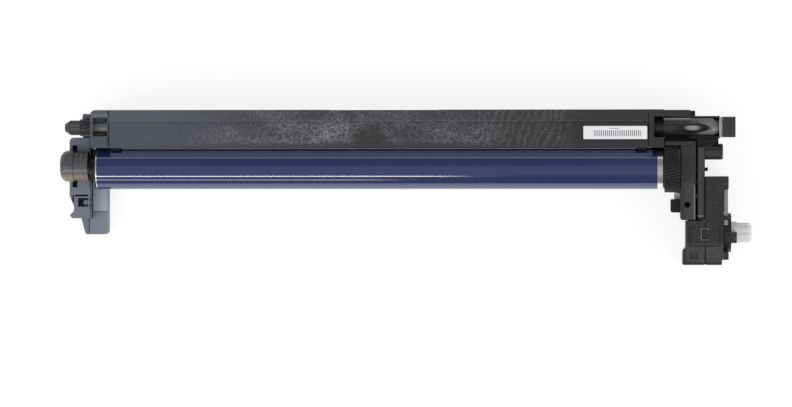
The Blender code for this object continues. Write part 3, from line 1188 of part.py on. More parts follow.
def waste_outlet(root, slide, gloss, dark, foam, steel):
    outlet_pipe(root, gloss)
    sleeve_in = PIPE_RADIUS + SEAT_GAP
    x1 = PIPE_X1 + SEAT_GAP
    x0 = x1 - SHUTTER_LENGTH
    outlet_shutter(slide, dark, x0, x1, sleeve_in)
    ring_x0 = x1 + SEAT_GAP
    ring = tube(ring_x0, ring_x0 + RING_LENGTH, sleeve_in, HEAD_HALF, 28)
    mesh_object("outlet_seal_ring", ring, foam, slide, smooth=35)
    head_x0 = ring_x0 + RING_LENGTH + SEAT_GAP
    half = HEAD_HALF
    side = rounded([(-half, -half), (half, -half), (half, half), (-half, half)], [HEAD_CORNER] * 4)
    head = mesh_object("outlet_push_head", extruded(side, head_x0, HEAD_X1, "x"), dark, slide)
    soften(head, 0.0004)
    cut(head, rod(head_x0 - SEAT_GAP, HEAD_X1 - HEAD_WALL, sleeve_in, 28))
    length = x0 - SEAT_GAP - (BAR_X1 + SEAT_GAP)
    wire = coil(SHUTTER_SPRING_RADIUS, SPRING_WIRE, length, SHUTTER_SPRING_TURNS)
    spring = mesh_object("shutter_spring", wire, steel, root)
    spring.rotation_euler = (0, pi / 2, 0)
    spring.location = (BAR_X1 + SEAT_GAP, AUGER_Y, SHUTTER_SPRING_Z)


def outlet_pipe(parent, finish):
    """Pipe with a tapered nose, a shallow dish on top and the port that the toner falls through."""
    inner = PIPE_RADIUS - PIPE_WALL
    nose = AUGER_CORE_RADIUS + BORE_GAP
    collar_x1 = BAR_X1 - 2 * SEAT_GAP
    taper_x = PIPE_X1 - PIPE_TAPER
    profile = [(PIPE_COLLAR_X0, inner), (PIPE_COLLAR_X0, COLLAR_RADIUS), (collar_x1, COLLAR_RADIUS),
               (collar_x1, PIPE_RADIUS), (taper_x, PIPE_RADIUS), (PIPE_X1, nose + PIPE_WALL), (PIPE_X1, nose),
               (taper_x, nose), (taper_x - PIPE_WALL, inner)]
    pipe = mesh_object("waste_outlet_pipe", turned(profile, 28, closed=True), finish, parent, smooth=35)
    pipe.location = (0, AUGER_Y, AUGER_Z)
    place = pipe.location
    port = block((PORT_X0, -PORT_WIDTH / 2, -2 * PIPE_RADIUS),
                 (PORT_X0 + PORT_LENGTH, PORT_WIDTH / 2, -inner / 2))
    cut(pipe, port, dish(), place=place)


def dish():
    """Flat ellipsoid that hollows the pipe's top into a spoon shape."""
    steps, half = 12, DISH_LENGTH / 2
    profile = [(-half, 0)]
    for k in range(1, steps):
        profile.append((-half * cos(pi * k / steps), DISH_WIDTH / 2 * sin(pi * k / steps)))
    profile.append((half, 0))
    shape = turned(profile, 14)
    bmesh.ops.scale(shape, verts=shape.verts, vec=(1, 1, DISH_DEPTH / (DISH_WIDTH / 2)))
    bmesh.ops.translate(shape, verts=shape.verts, vec=(DISH_X, 0, PIPE_RADIUS))
    return shape


def outlet_shutter(slide, finish, x0, x1, sleeve_in):
    """Half sleeve that slides along the pipe and opens its port; the lug presses on the spring."""
    sleeve_out = sleeve_in + SHUTTER_WALL
    start, end = pi - SHUTTER_LIFT, 2 * pi + SHUTTER_LIFT
    outline = arc((0, 0), sleeve_out, start, end, 18) + arc((0, 0), sleeve_in, end, start, 18)
    sleeve = mesh_object("outlet_shutter", extruded(outline, x0, x1, "x"), finish, slide, smooth=35)
    lug_z = SHUTTER_SPRING_Z - AUGER_Z
    reach = SHUTTER_SPRING_RADIUS
    lug = block((x0, -reach, lug_z - reach), (x0 + LUG_THICKNESS, reach, -sleeve_in - SHUTTER_WALL / 2))
    add(sleeve, lug)


def build():
    remove_everything()
    black = material("black_moulding", (0.045, 0.046, 0.048), 0.55)
    dark = material("dark_moulding", (0.030, 0.031, 0.031), 0.50)
    gloss = material("gloss_black_moulding", (0.012, 0.012, 0.012), 0.15)
    grey = material("grey_bracket_moulding", (0.13, 0.14, 0.16), 0.50)
    gear_black = material("gear_resin", (0.010, 0.010, 0.012), 0.35)
    white = material("white_acetal", (0.62, 0.64, 0.63), 0.45)
    steel = material("plated_steel", (0.55, 0.56, 0.58), 0.35, 1.0)
    coated = material("drum_coating", (0.045, 0.055, 0.17), 0.12)
    rubber = material("rubber", (0.02, 0.02, 0.02), 0.8)
    urethane = material("urethane", (0.45, 0.33, 0.16), 0.4)
    film = material("polyester_film", (0.30, 0.31, 0.32), 0.25)
    felt = material("felt", (0.35, 0.33, 0.30), 0.95)
    paper = material("label_paper", (0.80, 0.80, 0.80), 0.6)

    unit = empty("drum_unit", None, (UNIT_X, UNIT_Y, -FLOOR_Z))
    drum_axis = empty("drum_axis", unit)
    auger_axis = empty("auger_axis", unit, (0, AUGER_Y, AUGER_Z))
    charge_axis = empty("charge_axis", unit, (0, CHARGE_Y, CHARGE_Z))
    wiper_axis = empty("wiper_axis", unit, (0, WIPER_Y, WIPER_Z))
    counter_axis = empty("counter_axis", unit, (0, COUNTER_Y, COUNTER_Z))
    coupling_axis = empty("coupling_axis", unit, (0, COUPLING_Y, COUPLING_Z))
    shutter_slide = empty("shutter_slide", unit, (0, AUGER_Y, AUGER_Z))

    cleaner_frame(unit, black)
    top_cover(unit, black)
    blank_label(unit, paper)
    blade_set(unit, steel, urethane, film, felt)
    roller_set(unit, charge_axis, wiper_axis, steel, rubber, felt, dark)
    drum_set(drum_axis, coated, dark, gear_black, steel)
    auger_screw(auger_axis, dark)
    auger_gear(auger_axis, dark)
    front_bracket(unit, grey)
    front_bearing_cap(unit, grey)
    front_leg(unit, grey)
    rear_plate(unit, dark)
    outer_plate(unit, dark)
    gearbox(unit, dark)
    coupling_flange(unit, dark)
    earth_strip(unit, steel)
    counter_set(counter_axis, steel, white)
    coupling_set(coupling_axis, white)
    waste_outlet(unit, shutter_slide, gloss, dark, felt, steel)
    bpy.context.view_layer.update()


build()
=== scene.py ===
"""Printer drum unit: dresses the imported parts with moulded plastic, coated drum, steel, rubber and felt."""

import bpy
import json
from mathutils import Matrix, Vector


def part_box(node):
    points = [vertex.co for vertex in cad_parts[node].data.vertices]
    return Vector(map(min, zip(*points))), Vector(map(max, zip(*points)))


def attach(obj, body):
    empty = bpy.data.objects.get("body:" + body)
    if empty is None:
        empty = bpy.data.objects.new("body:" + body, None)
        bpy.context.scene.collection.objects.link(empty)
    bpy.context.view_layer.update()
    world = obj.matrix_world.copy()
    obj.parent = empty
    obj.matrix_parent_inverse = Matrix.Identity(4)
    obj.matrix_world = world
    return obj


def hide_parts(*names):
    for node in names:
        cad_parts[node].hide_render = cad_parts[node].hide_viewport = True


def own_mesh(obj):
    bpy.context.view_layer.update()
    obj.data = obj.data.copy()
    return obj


bl_info = {
    "name": "Printer Drum Unit",
    "version": (1, 0, 0),
    "blender": (4, 5, 0),
    "location": "3D View > Sidebar > Drum Unit",
    "description": "Finishes and small pieces for a printer drum unit, with its studio stage",
    "category": "Object",
}

import json
from math import atan2, cos, hypot, pi, radians, sin, tan

import bmesh
import bpy
from mathutils import Vector

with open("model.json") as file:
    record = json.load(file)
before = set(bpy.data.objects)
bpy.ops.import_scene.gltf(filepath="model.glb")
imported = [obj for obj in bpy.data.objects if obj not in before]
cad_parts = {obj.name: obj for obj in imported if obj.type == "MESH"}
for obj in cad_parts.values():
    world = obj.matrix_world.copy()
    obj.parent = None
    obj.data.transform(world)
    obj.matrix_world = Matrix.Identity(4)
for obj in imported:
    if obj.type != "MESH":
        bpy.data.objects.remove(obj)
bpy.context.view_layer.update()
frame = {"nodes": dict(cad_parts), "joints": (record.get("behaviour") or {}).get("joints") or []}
NODES = frame["nodes"]
JOINTS = {joint["name"]: joint for joint in frame["joints"]}
DRUM_AXIS = Vector(JOINTS["drum_spin"]["pos_m"])
FRAME_CENTRE = Vector((-0.00527, -0.0098, 0))  # point on the floor plan at the middle of the picture
DRUM_GEAR_RADIUS = 0.0135  # pitch radius, as the pinion's below
PINION_RADIUS = 0.00590625
HELIX_ANGLE = radians(13)
TUBE_WALL = 0.00075  # thickness of the drum's wall
EDGE_BREAK = 0.00018  # chamfer on the drum tube's ends
SPRING_WIRE = 0.00025  # radius of the springs' wire
STROKE_SOFT = 0.00012  # width over which a mark's edge fades
STRIP_START, STRIP_DISTANCE = -0.45, 1.2  # x of the strip lamps' first end, and how far off they are
FLOOR_REACH, FLOOR_DROP = 4.0, 0.0002
SENSOR_WIDTH = 36
WHITE, COOL, BLUISH = (1.0, 1.0, 1.0), (0.95, 0.98, 1.0), (0.93, 0.97, 1.0)
PROPERTY_NAME = "drum_unit_looks"


def linear(level):
    """Linear share of light of an sRGB level from 0 to 255."""
    return level / 255 / 12.92 if level < 11 else ((level / 255 + 0.055) / 1.055) ** 2.4


def shade(red, green, blue):
    """Linear colour of an sRGB one that is written from 0 to 255."""
    return linear(red), linear(green), linear(blue)


def colour_property(name, default):
    return bpy.props.FloatVectorProperty(
        name=name, description=f"Colour of the {name.lower()}", default=default, size=3, min=0, max=1,
        subtype="COLOR")


def share_property(name, description, default):
    return bpy.props.FloatProperty(
        name=name, description=description, default=default, min=0, max=1, subtype="FACTOR")


def length_property(name, description, default):
    return bpy.props.FloatProperty(
        name=name, description=description, default=default, min=0, precision=5, unit="LENGTH")


def light_property(name, description, default, unit="NONE"):
    return bpy.props.FloatProperty(name=name, description=description, default=default, min=0, unit=unit)


# Node building

class Value:
    """A number that varies over a surface. Python's operators on it add Math nodes."""

    def __init__(self, finish, socket):
        self.finish = finish
        self.socket = socket

    def math(self, operation, *inputs):
        node = self.finish.node("ShaderNodeMath", {"operation": operation}, dict(enumerate(inputs)))
        return Value(self.finish, node.outputs[0])

    def __add__(self, other):
        return self.math("ADD", self, other)

    __radd__ = __add__

    def __sub__(self, other):
        return self.math("SUBTRACT", self, other)

    def __rsub__(self, other):
        return self.math("SUBTRACT", other, self)

    def __mul__(self, other):
        return self.math("MULTIPLY", self, other)

    def __truediv__(self, other):
        return self.math("DIVIDE", self, other)

    def most(self, other):
        return self.math("MAXIMUM", self, other)

    def least(self, other):
        return self.math("MINIMUM", self, other)

    def wave(self):
        return self.math("SINE", self)

    def between(self, low, high, start=0.0, end=1.0):
        """Rises smoothly from start to end while the value goes from low to high."""
        sockets = {"Value": self, "From Min": low, "From Max": high, "To Min": start, "To Max": end}
        node = self.finish.node("ShaderNodeMapRange", {"interpolation_type": "SMOOTHSTEP"}, sockets)
        return Value(self.finish, node.outputs[0])

    def band(self, low, high, soft):
        """1 from low to high, and 0 beyond them by the soft distance."""
        return self.between(low - soft, low) * self.between(high, high + soft, 1.0, 0.0)


class Finish:
    """One material: its shader, and short ways to add what varies over the surface."""

    def __init__(self, name, metallic=0.0, **shader_values):
        self.material = bpy.data.materials.new(name)
        self.material.use_nodes = True
        self.tree = self.material.node_tree
        self.shader = self.tree.nodes["Principled BSDF"]
        self.shader.inputs["Metallic"].default_value = metallic
        for socket, value in shader_values.items():
            self.shader.inputs[socket.replace("_", " ")].default_value = value
        self.place = self.node("ShaderNodeTexCoord").outputs["Object"]
        parts = self.node("ShaderNodeSeparateXYZ", sockets={"Vector": self.place})
        self.x, self.y, self.z = (Value(self, parts.outputs[k]) for k in range(3))

    def node(self, kind, settings=None, sockets=None):
        """Adds a node: its settings go first, and then the values or links of its sockets."""
        made = self.tree.nodes.new(kind)
        for key, value in (settings or {}).items():
            setattr(made, key, value)
        for key, value in (sockets or {}).items():
            self.feed(made.inputs[key], value)
        return made

    def feed(self, socket, value):
        if isinstance(value, Value):
            value = value.socket
        if isinstance(value, bpy.types.NodeSocket):
            self.tree.links.new(value, socket)
        elif socket.type == "RGBA" and len(value) == 3:
            socket.default_value = (*value, 1.0)
        else:
            socket.default_value = value

    def stretched(self, stretch):
        node = self.node("ShaderNodeVectorMath", {"operation": "MULTIPLY"}, {0: self.place, 1: stretch})
        return node.outputs[0]

    def noise(self, size, detail=2.0, stretch=(1, 1, 1), distortion=0.0, roughness=0.5):
        """Soft noise with grains of about the given size in metres, from 0 to 1 and mostly near 0.5."""
        node = self.node("ShaderNodeTexNoise", sockets={
            "Vector": self.stretched(stretch), "Scale": 1 / size, "Detail": detail,
            "Distortion": distortion, "Roughness": roughness})
        return Value(self, node.outputs[0])

    def cells(self, size):
        """Distance to the middle of the nearest of many small cells of the given size in metres."""
        sockets = {"Vector": self.place, "Scale": 1 / size}
        return Value(self, self.node("ShaderNodeTexVoronoi", {"feature": "F1"}, sockets).outputs["Distance"])

    def facing(self, way):
        """1 on faces that look the given way, 0 on those that look aside or back."""
        normal = self.node("ShaderNodeTexCoord").outputs["Normal"]
        product = self.node("ShaderNodeVectorMath", {"operation": "DOT_PRODUCT"}, {0: normal, 1: way})
        return Value(self, product.outputs["Value"]).between(0.3, 0.9)

    def upward(self):
        return self.facing((0, 0, 1))

    def stroke(self, low, high):
        """1 inside a rectangle seen from above, from the low corner (x, y) to the high one."""
        return self.x.band(low[0], high[0], STROKE_SOFT) * self.y.band(low[1], high[1], STROKE_SOFT)

    def oval(self, centre, reach, sway=0.0):
        """1 at the middle of an ellipse seen from above, and fading to 0 at its edge."""
        across = (self.x - centre[0] + sway) / reach[0]
        down = (self.y - centre[1] + sway) / reach[1]
        return (across * across + down * down).between(0.3, 1.1, 1.0, 0.0)

    def blend(self, factor, low, high):
        """The low colour where the factor is 0, and the high one where it is 1."""
        node = self.node("ShaderNodeMix", {"data_type": "RGBA"}, {0: factor, 6: low, 7: high})
        return node.outputs[2]

    def tone(self, colour, factor):
        """The colour made lighter or darker by a factor that varies."""
        node = self.node("ShaderNodeVectorMath", {"operation": "SCALE"}, {0: colour, "Scale": factor})
        return node.outputs[0]

    def marked(self, colour, marks):
        """The colour with rectangles laid over its top faces."""
        top = self.upward()
        for low, high, share, mark in marks:
            colour = self.blend(self.stroke(low, high) * top * share, colour, mark)
        return colour

    def bump(self, height, depth, strength=1.0):
        """Turns a height from 0 to 1 into relief of that depth in metres."""
        sockets = {"Height": height, "Distance": depth, "Strength": strength}
        node = self.node("ShaderNodeBump", sockets=sockets)
        self.feed(self.shader.inputs["Normal"], node.outputs[0])

    def paint(self, **values):
        """Feeds the shader's sockets; an underscore stands for a space."""
        for socket, value in values.items():
            self.feed(self.shader.inputs[socket.replace("_", " ")], value)
        return self


def dress(finish, *names):
    """Gives CAD nodes a finish in place of the one that they were packed with."""
    for name in names:
        mesh = NODES[name].data
        mesh.materials.clear()
        mesh.materials.append(finish.material)


# Finishes

def moulded_plastic(name, colour, roughness=0.5, mottle=0.10, dust=0.15, dust_colour=(0.2, 0.2, 0.2), marks=()):
    """Injection-moulded plastic: uneven tone, fine grain, a little dust on top faces, and marks."""
    finish = Finish(name, IOR=1.45)
    patches = finish.noise(0.018, 3)
    fine = finish.noise(0.00035, 2)
    specks = finish.noise(0.0011, 3, distortion=0.6).between(0.56, 0.74)
    scuffs = finish.noise(0.0016, 2, stretch=(0.12, 1, 1)).between(0.62, 0.74)
    tone = 1 - mottle + patches * (2 * mottle) + (fine - 0.5) * mottle
    base = finish.tone(colour, tone)
    cover = (specks * 0.7 + scuffs * 0.35) * finish.upward() * dust
    finish.paint(Base_Color=finish.marked(finish.blend(cover, base, dust_colour), marks),
                 Roughness=(patches - 0.5) * 0.25 + (fine - 0.5) * 0.15 + cover * 0.3 + roughness)
    finish.bump(fine * 0.6 + patches * 0.4, 0.00006, 0.5)
    return finish


# Marks: low corner (x, y), high corner, share, colour
# pale edges: painted highlights on the rear plate and the latch window, and the outer plate's rubbed foot
WEAR_AND_HIGHLIGHT = shade(150, 152, 152)
PIPE_SHADE = (0.006, 0.006, 0.006)
BAR_MARKS = (
    ((-0.1797, 0.0262), (-0.1790, 0.0460), 0.75, (0.006, 0.006, 0.007)),  # shadowed seam
    ((-0.1892, 0.0428), (-0.1796, 0.0442), 0.55, (0.17, 0.17, 0.175)),  # worn sill of the window
    ((-0.1796, 0.0305), (-0.1790, 0.0442), 0.35, (0.15, 0.15, 0.155)),  # worn side of the window
    ((-0.1780, 0.0399), (0.1495, 0.0402), 0.30, (0.13, 0.13, 0.14)),  # painted highlight on the edge of the cover's step
    ((-0.1780, 0.0393), (0.1495, 0.0397), 0.25, (0.016, 0.016, 0.018)),  # shadow below it
    ((-0.1780, 0.0240), (0.1495, 0.0263), 0.20, (0.060, 0.060, 0.066)),  # lip beside the drum
)
PIPE_MARKS = (
    ((0.1565, 0.0383), (0.1760, 0.0412), 0.55, (0.10, 0.105, 0.105)),  # broad painted sheen along the top
    ((0.1510, 0.0300), (0.1562, 0.0430), 0.80, PIPE_SHADE),  # shade beside the bar
    ((0.1866, 0.0390), (0.1905, 0.0420), 0.85, PIPE_SHADE),  # painted shade in the notches of the end
    ((0.1866, 0.0290), (0.1905, 0.0316), 0.85, PIPE_SHADE),
)
LEG_MARKS = (
    ((-0.20, -0.0143), (-0.18, 0.01), 0.70, shade(178, 182, 190)),  # pale floor of the leg's pocket: painted light
    ((-0.20, -0.0150), (-0.18, -0.0143), 0.45, shade(70, 72, 78)),  # shadow at its edge
)
PLATE_MARKS = (
    ((0.1745, -0.0195), (0.1750, 0.0010), 0.55, WEAR_AND_HIGHLIGHT),  # painted highlight on the edge of the rear plate
    ((0.1600, -0.0155), (0.1662, -0.0068), 0.60, shade(16, 16, 17)),  # shaded guard over the idler
    ((0.1816, 0.0224), (0.1905, 0.0229), 0.60, shade(20, 20, 21)),  # joint above the side boss
    ((0.1762, -0.0178), (0.1802, -0.0170), 0.50, WEAR_AND_HIGHLIGHT),  # rubbed foot of the outer plate
    ((0.1770, -0.0170), (0.1803, 0.0240), 0.12, shade(130, 132, 132)),  # dusty face of the outer plate
    ((0.1770, 0.0245), (0.1905, 0.0305), 0.90, shade(10, 10, 11)),  # deep shade under the pipe
    ((0.1690, 0.0026), (0.1795, 0.0030), 0.45, shade(24, 22, 21)),  # joint across the rear plate
    ((0.1690, -0.0195), (0.1745, 0.0026), 0.10, shade(110, 114, 114)),  # dusty lower half
)
GEARBOX_MARKS = (
    ((0.1790, -0.0253), (0.1835, -0.0249), 0.45, WEAR_AND_HIGHLIGHT),  # painted highlights on three sides of the latch window
    ((0.1790, -0.0318), (0.1835, -0.0314), 0.45, shade(140, 142, 142)),
    ((0.1787, -0.0318), (0.1791, -0.0249), 0.50, WEAR_AND_HIGHLIGHT),
    ((0.1700, -0.0450), (0.1925, -0.0340), 0.12, shade(130, 130, 130)),  # dusty lower end
)

# Places on the bar and the auger, in metres from the unit's middle
STEP_EDGE = (0.0398, 0.0404)  # y of the cover's step
DUST_HEAP = ((-0.0405, 0.0350), (0.0120, 0.0070))  # centre and reach
WIPED_PATCH = ((-0.0212, 0.0283), (0.0125, 0.0100))
RIPPLED = (0.050, 0.092)  # x of the waves in the dust
RIPPLE_TURN = 1350  # radians of wave for each metre along the bar
WALL_SPAN = (-0.178, 0.149)  # x of the wall beside the drum
WALL_TOP = (0.0344, 0.0348)  # z where the pale film painted on the wall ends; its paleness is painted light
JOURNAL_PAINTED_HIGHLIGHT = (0.0336, 0.0363)  # y of the painted highlight band on the auger's journal
JOURNAL_SHEEN = (0.0367, 0.0396)  # y of the painted sheen behind it


def bar_plastic(looks):
    """Cleaner bar: black plastic under settled toner, heavy in the middle and wiped in places, with painted
    light at its front end and on the wall beside the drum, and a painted highlight and shade along the cover's
    step.
    """
    finish = Finish("dusty_bar_plastic", IOR=1.4)
    bare = finish.tone(looks.plastic, finish.noise(0.03, 2) * 0.3 + 0.85)
    # The bluish film at the front end is partly painted light: that end is painted lighter, as if lit more
    # brightly
    cool = finish.x.between(-0.16, -0.06, 1.0, 0.0)
    bare = finish.blend(cool * 0.8, bare, looks.cool_film_and_light)
    bare = finish.tone(bare, finish.y.between(*STEP_EDGE, 1.0, 1.25))
    fine = finish.noise(0.0010, 4, distortion=0.8, roughness=0.7).between(0.38, 0.66)
    clumps = finish.noise(0.0034, 3, distortion=1.5, roughness=0.6).between(0.44, 0.66)
    thin = finish.noise(0.026, 3, stretch=(0.6, 1, 1)).between(0.34, 0.60, 0.35, 1.0)
    spread = finish.x.between(-0.145, -0.080, 0.12, 0.95) * finish.x.between(-0.040, -0.010, 1.0, 0.70)
    spread = spread * finish.x.between(0.045, 0.085, 1.0, 0.50) * finish.x.between(0.088, 0.108, 1.0, 0.05)
    spread = spread * finish.y.between(0.0255, 0.0275, 0.40, 1.0) * finish.y.between(*STEP_EDGE, 1.0, 0.80)
    sway = (finish.noise(0.010, 2) - 0.5) * 0.010
    waves = ((finish.x + sway - (finish.y - 0.035) * 0.35) * RIPPLE_TURN).wave()
    ripples = waves.between(-0.5, 1.0) * finish.x.band(*RIPPLED, 0.015) * (fine * 0.8 + 0.2)
    heap = finish.oval(*DUST_HEAP, sway)
    wiped = finish.oval(*WIPED_PATCH, sway)
    dust = (fine * 0.65 + clumps * 0.35 + heap * fine * 0.5) * thin * spread + ripples * 0.20
    dust = dust * (1 - wiped * 0.7) * looks.dust
    scraped = finish.noise(0.0009, 2, stretch=(0.03, 1, 1)).between(0.58, 0.72)
    scraped = scraped * finish.x.band(-0.10, 0.14, 0.04) * 0.08
    # The wall beside the drum is painted pale: painted light, which the drum shows as a bright reflected band
    wall = DRUM_AXIS.y + looks.film_reach
    film = finish.facing((0, -1, 0)) * finish.y.band(wall - 0.0010, wall, 0.0003)
    film = film * finish.x.band(*WALL_SPAN, 0.001) * finish.z.between(*WALL_TOP, 1.0, 0.0)
    top = finish.upward()
    cover = ((dust + scraped * looks.dust) * top).most(0.0).least(1.0)
    coloured = finish.blend(cover, bare, looks.dust_colour)
    coloured = finish.marked(finish.blend(film, coloured, looks.film), BAR_MARKS)
    finish.paint(Base_Color=coloured, Roughness=dust * 0.3 + finish.noise(0.008, 2) * 0.15 + 0.45)
    finish.bump(clumps * 0.3 + fine * 0.5 + finish.noise(0.0004, 2) * 0.2, 0.00010, 0.6)
    return finish


def drum_coating(looks):
    """Charge layer over aluminium: deep blue and glossy, with a bare metal rim at each end."""
    finish = Finish("drum_coating", IOR=looks.coat_ior)
    low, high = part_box("drum_tube")
    bare = 1 - finish.x.band(low.x + looks.front_rim, high.x - looks.rear_rim, 0.0001)
    rings = finish.noise(0.0016, 1, stretch=(1, 0.02, 0.02))
    haze = finish.noise(0.03, 2, stretch=(0.4, 1, 1))
    blue = finish.blend(haze.between(0.3, 0.7), looks.coat, looks.coat_haze)
    blue = finish.tone(blue, rings * 0.16 + 0.92)
    metal = finish.tone(looks.rim, rings * 0.35 + 0.8)
    finish.paint(Base_Color=finish.blend(bare, blue, metal), Metallic=bare,
                 Roughness=bare * 0.14 + rings * 0.02 + looks.coat_roughness)
    return finish


def gear_resin(colour):
    """Filled black gear resin with a trace of grease between the teeth."""
    finish = Finish("gear_resin", IOR=1.5)
    fine = finish.noise(0.0005, 3)
    grease = finish.noise(0.003, 2).between(0.5, 0.7)
    finish.paint(Base_Color=finish.tone(colour, fine * 0.4 + 0.8),
                 Roughness=0.42 - grease * 0.18 + fine * 0.1)
    finish.bump(fine, 0.00003, 0.5)
    return finish


def pale_resin(name, colour):
    """Natural white gear plastic, faintly stained."""
    finish = Finish(name, IOR=1.48)
    stain = finish.noise(0.006, 3).between(0.45, 0.75)
    fine = finish.noise(0.0005, 2)
    finish.paint(Base_Color=finish.blend(stain * 0.5, colour, tuple(c * 0.78 for c in colour)),
                 Roughness=fine * 0.2 + 0.38)
    finish.bump(fine, 0.00003, 0.4)
    return finish


def plated_steel(name, colour, roughness=0.3, along=(0.03, 1, 1)):
    """Zinc-plated sheet or ground shaft, brushed along one way."""
    finish = Finish(name, metallic=1.0)
    brushed = finish.noise(0.0005, 3, stretch=along)
    bloom = finish.noise(0.009, 3)
    finish.paint(Base_Color=finish.tone(colour, bloom * 0.3 + brushed * 0.2 + 0.75),
                 Roughness=(brushed - 0.5) * 0.25 + (bloom - 0.5) * 0.2 + roughness)
    finish.bump(brushed, 0.00001, 0.5)
    return finish


PIPE_DISH = (0.1740, 0.0357)  # centre of the dish in the pipe's top and of the painted reflection in it, seen from above
DISH_REACH = (0.0072, 0.0021)
PAINTED_REFLECTION_GREY = (0.30, 0.305, 0.305)
PAINTED_REFLECTION_ZONE = ((0.1745, 0.1800), (0.0318, 0.0410))  # x and y where the painted reflection round the dish sets in
PIPE_GLINT = ((0.1567, 0.1860), (0.0413, 0.0417))  # x and y of the painted highlight line along the pipe


def gloss_plastic(name, colour):
    """Polished black duct, slightly wavy and lightly dusted, with a painted reflection in its dish, a painted
    dark ring and paler painted reflection round it, and a painted highlight line.
    """
    finish = Finish(name, IOR=1.5)
    dust = finish.noise(0.0012, 3).between(0.60, 0.78) * finish.upward()
    across = (finish.x - PIPE_DISH[0]) / DISH_REACH[0]
    down = (finish.y - PIPE_DISH[1]) / DISH_REACH[1]
    ring = across * across + down * down
    top = finish.upward()
    # Painted reflection in the dish, a painted dark ring round it, and paler painted reflection beyond the ring
    dish = ring.between(0.1, 0.7, 1.0, 0.0) * finish.x.between(0.1750, 0.1790, 1.0, 0.25)
    dark = ring.band(0.9, 1.7, 0.4)
    painted_highlight = ring.between(1.6, 2.3) * finish.x.between(*PAINTED_REFLECTION_ZONE[0]) * finish.y.band(*PAINTED_REFLECTION_ZONE[1], 0.0006)
    glint = finish.x.band(*PIPE_GLINT[0], 0.001) * finish.y.band(*PIPE_GLINT[1], 0.0003)
    colour = finish.blend(dish * top * 0.9, colour, PAINTED_REFLECTION_GREY)
    colour = finish.blend(dark * top * 0.8, colour, (0.005, 0.005, 0.005))
    colour = finish.marked(finish.blend(painted_highlight * top * 0.8, colour, (0.19, 0.195, 0.195)), PIPE_MARKS)
    colour = finish.blend(glint * 0.8, colour, PAINTED_REFLECTION_GREY)
    finish.paint(Base_Color=finish.blend(dust * 0.5, colour, (0.12, 0.12, 0.12)),
                 Roughness=dust * 0.3 + finish.noise(0.006, 2) * 0.08 + 0.10)
    finish.bump(finish.noise(0.007, 2), 0.00010, 0.35)
    return finish


def soft_finish(name, colour, grain, roughness=0.9, depth=0.0001):
    """Rubber, foam or felt: matt, with pores or fibres of the given size."""
    finish = Finish(name, IOR=1.4)
    pores = finish.cells(grain)
    fibres = finish.noise(grain * 2, 4, stretch=(1, 1, 0.4))
    finish.paint(Base_Color=finish.tone(colour, pores * 0.4 + fibres * 0.5 + 0.5),
                 Roughness=fibres * 0.15 + roughness - 0.1)
    finish.bump(pores * 0.5 + fibres * 0.5, depth, 0.8)
    return finish


RULED_BLOCK = ((-0.0132, 0.0154), (-0.0021, 0.0013))  # x and y from the label's middle
GREY_LINE = ((-0.0030, 0.0022), (0.0023, 0.0027))


def ruled_label(looks):
    """White label with one evenly ruled block and a thin grey line above it."""
    finish = Finish("ruled_label", IOR=1.45)
    low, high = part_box("blank_label")
    middle = (low + high) / 2
    x = finish.x - middle.x
    y = finish.y - middle.y
    comb = (x * (2 * pi / looks.rule_pitch)).wave().between(-0.15, 0.25)
    block = x.band(*RULED_BLOCK[0], 0.0002) * y.band(*RULED_BLOCK[1], 0.0002)
    line = x.band(*GREY_LINE[0], 0.0002) * y.band(*GREY_LINE[1], 0.00015)
    ink = comb * block * 0.80 + line * 0.55
    paper = finish.tone(looks.paper, finish.noise(0.002, 3) * 0.08 + 0.95)
    finish.paint(Base_Color=finish.blend(ink, paper, looks.ink),
                 Roughness=finish.noise(0.001, 2) * 0.1 + 0.45)
    finish.bump(finish.noise(0.0006, 2), 0.00001, 0.4)
    return finish


# Mesh building

GUARD_CORNERS = ((-0.1885, 0.02390, 0.0308), (0.1535, 0.02408, 0.0343))
# The bridge's y is measured from the drum's axis, and its z from the rear plate's top
BRIDGE_CORNERS = ((0.1569, 0.0143, 0.0003), (0.1750, 0.0168, 0.0018))
WEB_CORNERS = {
    "window_sill_back": ((-0.1892, 0.0396, 0.0318), (-0.1810, 0.0428, 0.0330)),
    "window_sill_front": ((-0.1892, 0.0306, 0.0318), (-0.1810, 0.0330, 0.0330)),
    # the webs below are dark sheets put below gaps as painted shade
    "front_web": ((-0.1905, 0.0222, 0.0060), (-0.1775, 0.0241, 0.0080)),
    "rear_web": ((0.1508, 0.0225, 0.0060), (0.1583, 0.0241, 0.0080)),
    "strip_web": ((0.1913, -0.0152, 0.0100), (0.1936, -0.0083, 0.0115)),
}


def piece(name, shape, finish, body, replaced=(), smooth=None):
    """Links a finished mesh as a piece that moves with a body."""
    bmesh.ops.recalc_face_normals(shape, faces=shape.faces)
    mesh = bpy.data.meshes.new(name)
    shape.to_mesh(mesh)
    shape.free()
    if smooth:
        mesh.shade_smooth()
        mesh.set_sharp_from_angle(angle=radians(smooth))
    made = bpy.data.objects.new(name, mesh)
    mesh.materials.append(finish.material)
    bpy.context.scene.collection.objects.link(made)
    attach(made, body)
    if replaced:
        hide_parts(*replaced)
    return made


def around(steps):
    """Evenly spaced angles of one full turn."""
    return [2 * pi * k / steps for k in range(steps)]


def skin(shape, rings):
    """Joins each ring of corners to the next one with quads."""
    for one, two in zip(rings, rings[1:]):
        for k in range(len(one)):
            j = (k + 1) % len(one)
            shape.faces.new((one[k], one[j], two[j], two[k]))


def turned(shape, axis, profile, steps):
    """Adds a closed ring of (x, radius) points revolved about a line along X."""
    rings = [[shape.verts.new((x, axis.y + radius * cos(a), axis.z + radius * sin(a))) for a in around(steps)]
             for x, radius in profile]
    skin(shape, rings + rings[:1])


